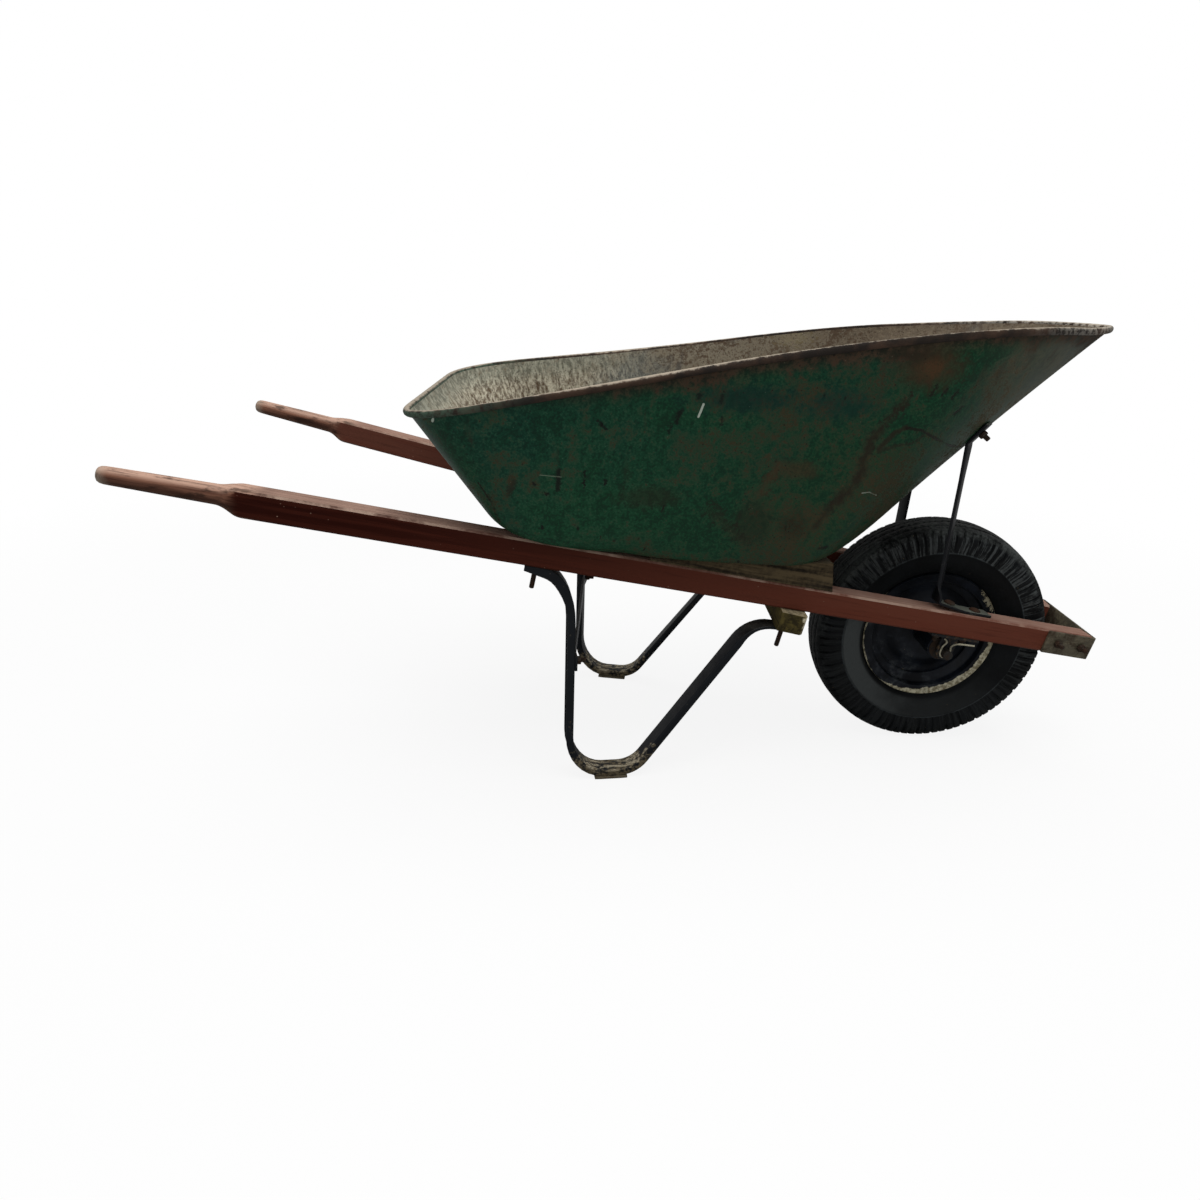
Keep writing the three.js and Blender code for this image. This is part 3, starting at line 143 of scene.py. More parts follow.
class Graph:
    """The node tree of one material, or of the world."""

    def __init__(self, name: str, library: bpy.types.bpy_prop_collection | None = None) -> None:
        """Starts an empty tree.

        Args:
            name: the name of the material or world.
            library: where it is made: the materials, or the worlds.
        """
        self.material = (bpy.data.materials if library is None else library).new(name)
        self.material.use_nodes = True
        self.tree = self.material.node_tree
        self.tree.nodes.clear()
        self._place: Wire | None = None

    def node(self, kind: str, settings: dict | None = None, inputs: dict | None = None) -> bpy.types.Node:
        """Adds a node.

        Args:
            kind: the node's type.
            settings: what is set on the node first.
            inputs: values or wires, by socket name or number.

        Returns:
            The new node.
        """
        made = self.tree.nodes.new(kind)
        for key, value in (settings or {}).items():
            setattr(made, key, value)
        for key, value in (inputs or {}).items():
            socket = made.inputs[key]
            if isinstance(value, Wire):
                self.tree.links.new(value.socket, socket)
            else:
                socket.default_value = value
        return made

    def out(self, kind: str, settings: dict | None = None, inputs: dict | None = None, output: int = 0) -> Wire:
        """Adds a node as node() does, and gives one of its outputs."""
        return Wire(self, self.node(kind, settings, inputs).outputs[output])

    def vector(self, operation: str, first: "Wire | Point", second: "Wire | Point | None" = None,
               output: int = 0) -> Wire:
        """The result of a Vector Math node; output 1 is its plain number."""
        inputs = {0: first} if second is None else {0: first, 1: second}
        return self.out("ShaderNodeVectorMath", {"operation": operation}, inputs, output)

    @property
    def place(self) -> Wire:
        """The position on the piece, in metres."""
        if self._place is None:
            self._place = self.out("ShaderNodeTexCoord", output=3)
        return self._place

    @property
    def facing(self) -> Wire:
        """The direction the surface faces, in the piece's own frame."""
        return self.out("ShaderNodeTexCoord", output=1)

    def turned(self, turn: Point = (0, 0, 0), scale: Point = (1, 1, 1), shift: Point = (0, 0, 0)) -> Wire:
        """The position, shifted, turned and stretched."""
        moved = self.vector("SUBTRACT", self.place, shift)
        turned = self.out("ShaderNodeMapping", {"vector_type": "POINT"}, {0: moved, 2: turn})
        return self.vector("MULTIPLY", turned, scale)

    def axes(self, vector: Wire | None = None) -> tuple[Wire, Wire, Wire]:
        """The three parts of a vector, or of the position."""
        split = self.node("ShaderNodeSeparateXYZ", None, {0: vector or self.place})
        return tuple(Wire(self, socket) for socket in split.outputs)

    def joined(self, x: "Wire | float", y: "Wire | float", z: "Wire | float") -> Wire:
        """A vector from its three parts."""
        return self.out("ShaderNodeCombineXYZ", None, {0: x, 1: y, 2: z})

    def noise(self, scale: float, detail: float = 4.0, roughness: float = 0.55, vector: Wire | None = None,
              twist: float = 0.0) -> Wire:
        """Noise with so many cells a metre, about 0.5 in the middle."""
        return self.out("ShaderNodeTexNoise", None, {
            "Vector": vector or self.place, "Scale": scale, "Detail": detail, "Roughness": roughness,
            "Distortion": twist})

    def streaks(self, scale: Point, detail: float, roughness: float, turn: Point = (0, 0, 0),
                twist: float = 0.0) -> Wire:
        """Noise with so many cells a metre along each axis, after the axes are turned."""
        return self.noise(1.0, detail, roughness, self.turned(turn, scale), twist)

    def cells(self, scale: float, vector: Wire | None = None) -> Wire:
        """The distance to the nearest of scattered points."""
        return self.out("ShaderNodeTexVoronoi", None, {"Vector": vector or self.place, "Scale": scale})

    def attribute(self, name: str) -> Wire:
        """A value kept on the mesh."""
        return self.out("ShaderNodeAttribute", {"attribute_name": name}, output=2)

    def mix(self, share: "Wire | float", first: "Wire | Colour", second: "Wire | Colour") -> Wire:
        """Two colours mixed by a share."""
        return self.out("ShaderNodeMix", {"data_type": "RGBA"}, {0: share, 6: first, 7: second}, 2)

    def coated(self, colour: "Wire | Colour", *coats: "tuple[Wire | float, Wire | Colour]") -> Wire:
        """A colour with coats laid over it one by one, each a share and a tone."""
        for share, tone in coats:
            colour = self.mix(share, colour, tone)
        return colour

    def bump(self, height: Wire, depth: float, strength: float = 1.0, under: Wire | None = None) -> Wire:
        """A normal that follows a height between 0 and 1, which stands for a depth in metres."""
        inputs = {"Height": height, "Distance": depth, "Strength": strength}
        if under is not None:
            inputs["Normal"] = under
        return self.out("ShaderNodeBump", None, inputs)

    def stroke(self, mark: "Mark", ragged: Wire) -> Wire:
        """A mark along a line, its edge frayed by a noise: 1 on the mark and 0 away from it."""
        off: Wire | None = None
        for start, end in zip(mark.points, mark.points[1:]):
            along = Vector(end) - Vector(start)
            moved = self.vector("SUBTRACT", self.place, start)
            share = self.vector("DOT_PRODUCT", moved, tuple(along / along.length_squared), 1).most(0.0).least(1.0)
            foot = self.out("ShaderNodeVectorMath", {"operation": "SCALE"}, {0: tuple(along), 3: share})
            away = self.vector("DISTANCE", moved, foot, 1)
            off = away if off is None else off.least(away)
        if mark.fray:
            off = off + (ragged - 0.5) * (mark.width * 2.8 * mark.fray)
        return off.band(mark.width * 0.55, mark.width * (0.40 - 0.45 * mark.fray))

    def spot(self, centre: Point, radii: Point, ragged: Wire, fray: float = 1.0) -> Wire:
        """A soft ragged patch round a point, with a radius along each axis."""
        scaled = self.vector("DIVIDE", self.vector("SUBTRACT", self.place, centre), radii)
        off = self.vector("LENGTH", scaled, None, 1)
        return (off + (ragged - 0.5) * fray * 2.0).band(1.05, 0.30)

    def surface(self, colour: "Wire | Colour", roughness: "Wire | float", metallic: "Wire | float" = 0.0,
                normal: Wire | None = None, specular: float = 0.5) -> Paint:
        """Closes the tree with one shader.

        Args:
            colour: the base colour.
            roughness: how matt the surface is.
            metallic: how far it is bare metal.
            normal: the bumped normal, if there is one.
            specular: the strength of the plain reflection.

        Returns:
            The finished material.
        """
        inputs = {"Base Color": colour, "Roughness": roughness, "Metallic": metallic,
                  "Specular IOR Level": specular}
        if normal is not None:
            inputs["Normal"] = normal
        shader = self.out("ShaderNodeBsdfPrincipled", None, inputs)
        self.node("ShaderNodeOutputMaterial", None, {0: shader})
        return self.material


# Finishes


@dataclass(frozen=True)
class Mark:
    """A scratch, chip or smear along a line.

    Attributes:
        points: the line, in metres.
        width: its full width.
        tone: its colour.
        fray: how ragged its edge is, 0 to 1.
        force: how much it covers.
    """

    points: tuple[Point, ...]
    width: float
    tone: Colour
    fray: float = 0.3
    force: float = 0.9


@dataclass(frozen=True)
class Stain:
    """A ragged patch round a point, with a radius along each axis."""

    centre: Point
    radii: Point
    tone: Colour
    force: float = 0.7


PIT = srgb(15, 17, 13)
SCORE = srgb(26, 22, 15)
SOOT = srgb(40, 32, 21)
OCHRE = srgb(70, 50, 32)
PALE = srgb(188, 198, 184)

TRAY_MARKS = (
    Mark(((-0.1461, -0.2508, 0.5276), (-0.1467, -0.2474, 0.5016)), 0.010, PIT, 0.5),
    Mark(((-0.1107, -0.2468, 0.5263), (-0.1110, -0.2439, 0.5046)), 0.006, PIT, 0.9),
    Mark(((-0.0821, -0.2416, 0.5125), (-0.0825, -0.2416, 0.5085)), 0.006, PIT, 0.5),
    Mark(((-0.2064, -0.2548, 0.5129), (-0.2167, -0.2506, 0.4905)), 0.012, SOOT, 0.8, 0.7),
    Mark(((-0.1807, -0.2522, 0.5102), (-0.1790, -0.2515, 0.5080)), 0.005, PIT, 0.6),
    Mark(((-0.1631, -0.2480, 0.4942), (-0.1600, -0.2478, 0.4935)), 0.007, PIT, 0.7),
    Mark(((-0.1712, -0.2527, 0.5218), (-0.1427, -0.2493, 0.5190)), 0.0020, srgb(112, 124, 106), 0.4, 0.6),
    Mark(((-0.0943, -0.2546, 0.5975), (-0.0833, -0.2519, 0.5867)), 0.005, PIT, 0.6, 0.8),
    Mark(((0.0391, -0.2459, 0.6340), (0.0380, -0.2455, 0.6290)), 0.011, PIT, 0.9, 0.8),
    Mark(((0.0160, -0.2453, 0.6110), (0.0117, -0.2440, 0.5974)), 0.008, PIT, 0.9, 0.8),
    Mark(((0.0039, -0.2440, 0.5918), (0.0018, -0.2431, 0.5835)), 0.006, PIT, 0.8, 0.7),
    Mark(((0.0693, -0.2430, 0.6332), (0.0702, -0.2417, 0.6238)), 0.009, PIT, 0.9, 0.8),
    Mark(((0.0723, -0.2388, 0.6036), (0.0733, -0.2375, 0.5940)), 0.005, PIT, 0.6, 0.7),
    Mark(((0.0402, -0.2421, 0.6049), (0.0456, -0.2438, 0.6219)), 0.0034, PALE, 0.15),
    Mark(((-0.3102, -0.2690, 0.5988), (-0.3129, -0.2595, 0.5919)), 0.004, PALE, 0.2, 0.8),
    Mark(((0.0023, -0.2290, 0.4766), (-0.0225, -0.2126, 0.4028)), 0.0026, SCORE, 0.2),
    Mark(((-0.2558, -0.2471, 0.5063), (-0.2416, -0.2424, 0.4818)), 0.004, SCORE, 0.5, 0.8),
    Mark(((-0.2416, -0.2440, 0.4900), (-0.2300, -0.2300, 0.4480)), 0.006, SCORE, 0.9, 0.8),
    Mark(((-0.1689, -0.2399, 0.4446), (-0.1680, -0.2395, 0.4416)), 0.007, PIT, 0.6),
    Mark(((-0.1390, -0.2301, 0.4200), (-0.0830, -0.2225, 0.4150)), 0.0022, SCORE, 0.4),
    Mark(((-0.0855, -0.2295, 0.4299), (-0.0872, -0.2253, 0.4199)), 0.0022, SCORE, 0.2),
    Mark(((-0.1352, -0.2241, 0.4119), (-0.0500, -0.2102, 0.4012)), 0.0026, SCORE, 0.5, 0.8),
    Mark(((0.1587, -0.2217, 0.5353), (0.1392, -0.2188, 0.4982)), 0.024, OCHRE, 1.0, 0.65),
    Mark(((0.0688, -0.2216, 0.4691), (0.1190, -0.2098, 0.4250)), 0.030, SOOT, 1.0, 0.5),
    Mark(((0.3238, -0.2186, 0.6332), (0.3036, -0.2168, 0.6039), (0.2846, -0.2148, 0.5746),
          (0.2785, -0.2086, 0.5219), (0.2534, -0.2056, 0.4798)), 0.022, SOOT, 0.9, 0.85),
    Mark(((0.2989, -0.2119, 0.5628), (0.3180, -0.2132, 0.5869), (0.3326, -0.2126, 0.5929)), 0.010, SOOT, 0.5, 0.8),
    Mark(((0.3326, -0.2126, 0.5929), (0.3541, -0.2080, 0.5900), (0.3814, -0.1925, 0.5769),
          (0.4241, -0.1526, 0.5589), (0.4679, -0.0991, 0.5506)), 0.0055, SCORE, 0.3, 0.85),
    Mark(((0.2997, -0.2113, 0.5588), (0.3221, -0.2103, 0.5672), (0.3459, -0.2061, 0.5713),
          (0.3606, -0.2034, 0.5810)), 0.007, SOOT, 0.7, 0.6),
    Mark(((0.2581, -0.2079, 0.5018), (0.2422, -0.2059, 0.4742), (0.2276, -0.2034, 0.4460)), 0.018, SOOT, 1.0, 0.7),
    Mark(((0.2871, -0.2042, 0.4973), (0.2976, -0.2022, 0.4985), (0.3104, -0.1960, 0.4928)), 0.002, PALE, 0.2, 0.5),
    Mark(((0.3570, -0.2172, 0.6390), (0.3630, -0.2160, 0.6510)), 0.006, SCORE, 0.6, 0.7),
    Mark(((0.3720, -0.2140, 0.6370), (0.3780, -0.2140, 0.6480)), 0.006, SCORE, 0.6, 0.7),
    Mark(((0.3890, -0.2092, 0.6340), (0.3960, -0.2080, 0.6460)), 0.006, SCORE, 0.6, 0.7),
    Mark(((0.4014, -0.1959, 0.6114), (0.4114, -0.1943, 0.6211)), 0.006, SCORE, 0.6, 0.7),
    Mark(((0.2385, -0.1955, 0.4099), (0.2496, -0.1924, 0.4108)), 0.008, PIT, 0.7),
)
TRAY_STAINS = (
    Stain((0.345, -0.222, 0.676), (0.060, 0.06, 0.036), srgb(64, 46, 30), 0.85),
    Stain((0.350, -0.222, 0.676), (0.026, 0.04, 0.018), srgb(88, 58, 34), 0.6),
    Stain((0.315, -0.222, 0.690), (0.050, 0.06, 0.016), SOOT, 0.7),
    Stain((-0.020, -0.233, 0.490), (0.056, 0.05, 0.022), SOOT, 0.5),
    Stain((0.186, -0.219, 0.531), (0.036, 0.05, 0.016), OCHRE, 0.6),
    Stain((0.135, -0.212, 0.450), (0.036, 0.05, 0.050), SOOT, 0.55),
    Stain((0.195, -0.206, 0.444), (0.034, 0.05, 0.034), SOOT, 0.6),
    Stain((0.100, -0.240, 0.630), (0.110, 0.06, 0.028), srgb(10, 40, 38), 0.7),
    Stain((0.230, -0.225, 0.625), (0.090, 0.06, 0.030), srgb(12, 46, 42), 0.6),
)


@dataclass(frozen=True)
class TrayOutside:
    """Dark green paint on the outside of the tray: faded, stained with rust, chipped and scratched, with a pale haze
    and a painted grazing-light sheen on the nose.
    """

    green: Colour = srgb(17, 68, 42)
    teal: Colour = srgb(8, 58, 42)
    olive: Colour = srgb(50, 58, 38)
    rust: Colour = srgb(66, 48, 32)
    # pale tone on the nose: a haze on the paint and a painted sheen
    haze_and_sheen: Colour = srgb(108, 100, 80)
    marks: tuple[Mark, ...] = TRAY_MARKS
    stains: tuple[Stain, ...] = TRAY_STAINS

    def material(self) -> Paint:
        """Builds the paint."""
        g = Graph("tray_outside")
        x, _, _ = g.axes()
        drop = g.attribute("drop")
        broad = g.noise(3.1, 3.0, 0.5)
        mottle = g.noise(11.0, 6.0, 0.64, twist=0.5)
        fine = g.noise(75.0, 8.0, 0.76)
        grit = g.noise(300.0, 3.0, 0.7)
        colour = g.mix((broad * 0.6 + mottle * 0.4).band(0.40, 0.60), self.green, self.teal)
        texture = mottle * 0.35 + fine * 0.40 + grit * 0.25
        colour = g.coated(
            colour,
            (texture.band(0.50, 0.56) * 0.45, srgb(52, 98, 74)),
            (texture.band(0.495, 0.44) * 0.55, srgb(6, 26, 17)))
        front = x.band(-0.12, 0.26)
        low = drop.band(0.05, 0.22)
        brown = mottle * 0.50 + fine * 0.50 + front * (0.030 + low * 0.045)
        colour = g.mix(brown.band(0.50, 0.58) * 0.60, colour, self.olive)
        rusty = (brown + (grit - 0.5) * 0.4).band(0.575, 0.64)
        colour = g.mix(rusty * 0.65, colour, self.rust)
        # the nose turns pale near the edge: a haze on the paint, and a painted sheen where the sheet is seen at a
        # grazing angle
        nose = (x + (mottle - 0.5) * 0.30 - drop * 0.5).band(0.36, 0.56)
        colour = g.coated(
            colour,
            (nose * (0.45 + fine.band(0.4, 0.6) * 0.35), self.haze_and_sheen),
            (nose * broad.band(0.50, 0.60) * 0.4, srgb(70, 88, 88)))
        edge = 0.013 + x.band(-0.25, 0.05) * 0.008 + (mottle - 0.5) * 0.06 + (fine - 0.5) * 0.045 - drop
        under_rim = edge.band(-0.010, 0.014) * x.band(-0.24, -0.02)
        colour = g.mix(under_rim * 0.80, colour, g.mix(fine.band(0.4, 0.6), srgb(34, 24, 19), srgb(74, 54, 42)))
        streaks = g.streaks((42.0, 42.0, 5.0), 5.0, 0.6)
        runs = streaks.band(0.58, 0.70) * drop.band(0.20, 0.02) * 0.45
        colour = g.mix(runs, colour, srgb(52, 46, 34))
        for stain in self.stains:
            patch = g.spot(stain.centre, stain.radii, mottle * 0.4 + fine * 0.6, 1.6)
            colour = g.mix(patch * (grit.band(0.30, 0.60) * 0.5 + 0.5) * stain.force, colour, stain.tone)
        chips = g.cells(34.0, g.turned(scale=(1.0, 1.0, 0.55))).band(0.10, 0.05) * mottle.band(0.50, 0.58)
        specks = g.cells(120.0).band(0.16, 0.09) * (fine + front * 0.06).band(0.52, 0.60)
        colour = g.mix(chips.most(specks) * 0.85, colour, srgb(20, 19, 14))
        pale = g.cells(150.0, g.turned(shift=(0.3, 0.1, 0.2))).band(0.10, 0.05) * grit.band(0.55, 0.62)
        colour = g.mix(pale * 0.45, colour, srgb(128, 142, 122))
        scars: Wire | float = 0.0
        for mark in self.marks:
            mask = g.stroke(mark, grit if mark.width < 0.008 else fine)
            colour = g.mix(mask * mark.force, colour, mark.tone)
            scars = mask.most(scars)
        bare = rusty.most(chips).most(under_rim * 0.6)
        roughness = 0.42 + bare * 0.36 + (fine - 0.5) * 0.20 + nose * 0.15
        height = fine * 0.35 + grit * 0.20 - bare * 0.35 - scars * 0.5
        dents = g.bump(g.noise(7.0, 2.0, 0.5), 0.006, 0.5)
        return g.surface(colour, roughness, 0.0, g.bump(height, 0.0010, 0.9, dents), 0.16)


@dataclass(frozen=True)
class TrayInside:
    """Scoured steel inside the tray: grey and beige dirt, cream streaks at the back, brown at the front."""

    beige: Colour = srgb(138, 130, 112)
    cream: Colour = srgb(214, 208, 186)
    grey: Colour = srgb(100, 112, 112)
    brown: Colour = srgb(88, 72, 56)

    def material(self) -> Paint:
        """Builds the dirty inside."""
        g = Graph("tray_inside")
        x, _, z = g.axes()
        drop = g.attribute("drop")
        broad = g.noise(4.5, 4.0, 0.55)
        mottle = g.noise(22.0, 6.0, 0.70, twist=0.5)
        fine = g.noise(150.0, 5.0, 0.72)
        drag = g.streaks((190.0, 90.0, 64.0), 6.0, 0.78, (0, 0.25, 0))
        colour = g.mix((mottle * 0.45 + fine * 0.55).band(0.44, 0.56), self.brown, self.beige)
        cool = g.spot((-0.02, 0.22, 0.56), (0.13, 0.20, 0.10), mottle, 0.9).most(broad.band(0.52, 0.60) * 0.5)
        colour = g.mix(cool * 0.60, colour, self.grey)
        rear = (x + (mottle - 0.5) * 0.12).band(0.04, -0.16)
        colour = g.coated(
            colour,
            (rear * drag.band(0.42, 0.60) * 0.85, self.cream),
            (rear * drag.band(0.47, 0.38) * 0.65, srgb(92, 74, 54)),
            (rear * fine.band(0.47, 0.36) * 0.5, srgb(80, 64, 46)),
            (drop.band(0.045, 0.012) * rear * 0.5, srgb(126, 134, 120)))
        front = x.band(0.05, 0.45)
        rust = (mottle * 0.5 + fine * 0.5 + front * 0.07).band(0.54, 0.63)
        colour = g.coated(
            colour,
            (rust * 0.65, srgb(80, 56, 38)),
            (g.spot((0.26, 0.20, 0.68), (0.05, 0.10, 0.03), fine, 1.6) * 0.35, srgb(150, 140, 104)),
            ((fine * 0.6 + mottle * 0.4).band(0.50, 0.62) * 0.35, srgb(158, 148, 126)))
        scores = g.streaks((30.0, 420.0, 420.0), 3.0, 0.5, (0, 0.5, 0.3)).band(0.62, 0.70)
        colour = g.mix(scores * 0.5, colour, srgb(60, 54, 46))
        specks = g.cells(210.0).band(0.30, 0.16) * fine.band(0.42, 0.54)
        colour = g.mix(specks * 0.75, colour, srgb(48, 38, 29))
        # darker towards the floor of the tray
        low_darkening = z.band(0.47, 0.385) * (mottle.band(0.30, 0.62) * 0.6 + 0.25)
        colour = g.mix(low_darkening, colour, srgb(72, 62, 50))
        roughness = 0.66 + rust * 0.22 + (fine - 0.5) * 0.2
        height = fine * 0.6 + drag * 0.3 - rust * 0.3
        dents = g.bump(g.noise(8.0, 2.0, 0.5), 0.008, 0.5)
        return g.surface(colour, roughness, 0.05, g.bump(height, 0.0012, 0.9, dents), 0.25)


@dataclass(frozen=True)
class RimBead:
    """The rolled edge of the tray: brown-black at the side, with a painted light grey highlight on top, made smoother
    there as rubbed steel.
    """

    dark: Colour = srgb(36, 29, 24)
    # the light grey of the painted highlight on top
    worn: Colour = srgb(172, 160, 142)

    def material(self) -> Paint:
        """Builds the rubbed edge."""
        g = Graph("tray_bead")
        x, _, _ = g.axes()
        _, _, up = g.axes(g.facing)
        fine = g.noise(120.0, 6.0, 0.70)
        patch = g.noise(18.0, 5.0, 0.62)
        colour = g.mix(patch.band(0.40, 0.62), self.dark, srgb(70, 52, 40))
        # light grey along the top: a painted highlight; the same mask makes the top smoother and a little metallic
        rubbed = (up + (fine - 0.5) * 1.6 + (patch - 0.5) * 0.7).band(0.40, 0.92)
        colour = g.mix(rubbed * 0.85, colour, self.worn)
        green = x.band(-0.16, -0.34) * (1.0 - up.band(0.3, 0.8)) * fine.band(0.35, 0.55)
        colour = g.mix(green * 0.75, colour, srgb(76, 100, 84))
        pale = x.band(0.46, 0.62) * fine.band(0.42, 0.56)
        colour = g.mix(pale * 0.45, colour, srgb(186, 180, 168))
        roughness = 0.74 - rubbed * 0.15
        return g.surface(colour, roughness, rubbed * 0.15, g.bump(fine, 0.0008, 0.8), 0.25)


@dataclass(frozen=True)
class ShaftPaint:
    """Red-brown paint on a wooden shaft, worn to the wood on its grip, with painted shadow along its side under the
    tray, dust and a painted highlight on its top face, a painted highlight on top of the grip and painted shade under
    it.
    """

    side: Side
    red: Colour = srgb(104, 56, 42)
    # painted shadow along the right shaft's side under the tray
    tray_shadow: Colour = srgb(44, 9, 2)
    # the top face's pale tone: dust and a painted highlight
    dust: Colour = srgb(178, 146, 130)
    wood: Colour = srgb(132, 92, 74)
    grip_end: float = -0.560

    def material(self) -> Paint:
        """Builds the worn paint."""
        g = Graph(f"shaft_paint_{self.side.label}")
        turn = (0.0, -FALL, self.side * TOE_IN)
        x, _, _ = g.axes()
        _, across, up = g.axes(g.facing)
        grain = g.streaks((7.0, 260.0, 260.0), 5.0, 0.64, turn)
        long_grain = g.streaks((2.2, 70.0, 70.0), 4.0, 0.6, turn)
        fine = g.noise(150.0, 5.0, 0.68)
        patch = g.noise(14.0, 5.0, 0.6)
        # darker towards the rear: painted shadow under the tray on the right shaft; the left shaft's tone is lighter,
        # painted for the light it gets
        colour = g.mix(x.band(-0.50, 0.50), srgb(96, 56, 44) if self.side == Side.LEFT else self.tray_shadow, self.red)
        colour = g.coated(
            colour,
            (long_grain.band(0.46, 0.60) * 0.25, srgb(96, 44, 30)),
            (grain.band(0.54, 0.68) * 0.30, srgb(34, 11, 6)))
        # pale top face: dust, and a painted highlight where the light from above falls on it
        top = (up + (fine - 0.5) * 0.30).band(0.52, 0.84)
        dust = top * (0.60 + (grain - 0.5) * 1.1 + (patch - 0.5) * 0.9)
        colour = g.mix(dust.least(1.0), colour, self.dust)
        edge = (up + abs(across) * 0.9 + (fine - 0.5) * 0.5).band(1.12, 1.26)
        colour = g.mix(edge * patch.band(0.44, 0.6) * 0.6, colour, srgb(192, 166, 148))
        flecks = g.cells(90.0).band(0.10, 0.06) * patch.band(0.50, 0.62)
        colour = g.mix(flecks * 0.7, colour, srgb(158, 130, 112))
        reach = abs(across).band(0.90, 0.995) * 0.030 + (patch - 0.5) * 0.03 + (grain - 0.5) * 0.016
        bare = (self.grip_end - x - reach).band(-0.012, 0.012)
        wood = g.mix(long_grain.band(0.38, 0.62), srgb(72, 43, 34), self.wood)
        # painted highlight along the top of the grip; the second coat is dark grain
        wood = g.coated(
            wood,
            (up.band(0.30, 0.85) * 0.75, srgb(208, 172, 152)),
            (grain.band(0.52, 0.64) * 0.55, srgb(52, 34, 25)))
        smudge = g.streaks((20.0, 60.0, 60.0), 5.0, 0.64, turn).band(0.50, 0.62)
        # dark smudges of dirt, then painted shade on the grip's underside
        wood = g.coated(
            wood,
            (smudge * 0.70, srgb(44, 31, 25)),
            ((1.0 - up.band(-0.6, 0.3)) * 0.6, srgb(48, 32, 24)))
        rubbed = (x + (fine - 0.5) * 0.03).band(-0.736, -0.754)
        wood = g.mix(rubbed * (fine.band(0.40, 0.58) * 0.5 + 0.3), wood, srgb(170, 158, 142))
        colour = g.mix(bare, colour, wood)
        roughness = 0.60 + top * 0.20 + (fine - 0.5) * 0.15
        height = grain * 0.55 + fine * 0.25 + long_grain * 0.2
        return g.surface(colour, roughness, 0.0, g.bump(height, 0.0008, 0.8), 0.07)


@dataclass(frozen=True)
class BareWood:
    """Weathered wood with open grain and cracks.

    Attributes:
        name: the material's name.
        light, dark: the two tones of the grain.
        turn: how the grain's direction is turned from the barrow's X axis.
        broken: whether the right end has broken, as on the bar.
    """

    name: str
    light: Colour
    dark: Colour
    turn: Point
    broken: bool = False

    def material(self) -> Paint:
        """Builds the wood."""
        g = Graph(self.name)
        x, y, _ = g.axes()
        _, _, up = g.axes(g.facing)
        grain = g.streaks((9.0, 240.0, 240.0), 6.0, 0.66, self.turn)
        waves = g.streaks((4.0, 55.0, 55.0), 3.0, 0.55, self.turn, 0.6)
        fine = g.noise(170.0, 5.0, 0.66)
        patch = g.noise(20.0, 5.0, 0.6)
        colour = g.mix((waves * 0.5 + grain * 0.3 + fine * 0.2).band(0.41, 0.58), self.dark, self.light)
        cracks = g.streaks((5.0, 120.0, 120.0), 4.0, 0.6, self.turn).band(0.36, 0.31)
        colour = g.coated(
            colour,
            (cracks * 0.9, srgb(30, 24, 18)),
            (up.band(0.6, 0.9) * 0.30, srgb(150, 138, 116)),
            (patch.band(0.56, 0.68) * 0.35, srgb(52, 44, 34)))
        height = grain * 0.6 + fine * 0.2 - cracks * 0.8
        if self.broken:
            end = y.band(-0.150, -0.168)
            split = (x + (fine - 0.5) * 0.014).band(0.2325, 0.2365) * end
            splinter = g.mix(fine.band(0.42, 0.56), srgb(120, 104, 66), srgb(226, 216, 186))
            colour = g.mix(split * 0.90, colour, splinter)
            colour = g.mix(up.band(0.6, 0.9) * end * fine.band(0.36, 0.5) * 0.75, colour, srgb(178, 164, 132))
        return g.surface(colour, 0.88, 0.0, g.bump(height, 0.0012, 0.9), 0.15)


@dataclass(frozen=True)
class WornPaint:
    """Thin paint on iron, worn through to brown at edges and low down.

    Attributes:
        name: the material's name.
        paint: the paint's colour.
        worn: what shows where it has gone.
        wear: how much of it has gone, 0 to 1.
        foot: height in metres under which the wear grows.
        dust: how much of the top faces dust covers.
        dust_tone: the dust's colour.
    """

    name: str
    paint: Colour
    worn: Colour
    wear: float = 0.3
    foot: float = 0.0
    dust: float = 0.25
    dust_tone: Colour = srgb(132, 124, 110)

    def material(self) -> Paint:
        """Builds the paint."""
        g = Graph(self.name)
        _, _, z = g.axes()
        _, _, up = g.axes(g.facing)
        fine = g.noise(140.0, 6.0, 0.66)
        patch = g.noise(26.0, 5.0, 0.62, twist=0.3)
        colour = g.mix(patch.band(0.40, 0.64) * 0.6, self.paint, shaded(self.paint, 1.7))
        gone = patch * 0.45 + fine * 0.55 + self.wear * 0.22
        worn = g.mix(fine.band(0.38, 0.62), shaded(self.worn, 0.30), self.worn)
        if self.foot:
            scraped = g.streaks((22.0, 200.0, 200.0), 5.0, 0.7)
            gone = gone + z.band(self.foot, 0.0) * (0.10 + scraped * 0.22)
            worn = g.mix(scraped.band(0.44, 0.56) * up.band(-0.2, 0.6), worn, srgb(198, 186, 160))
        gone = gone.band(0.57, 0.68)
        colour = g.mix(gone * 0.9, colour, worn)
        dusty = up.band(0.45, 0.95) * (self.dust + (patch - 0.5) * 0.6)
        colour = g.mix(dusty, colour, self.dust_tone)
        roughness = 0.42 + gone * 0.40 + (fine - 0.5) * 0.2
        return g.surface(colour, roughness, 0.0, g.bump(fine * 0.6 - gone * 0.4, 0.0007, 0.8), 0.2)


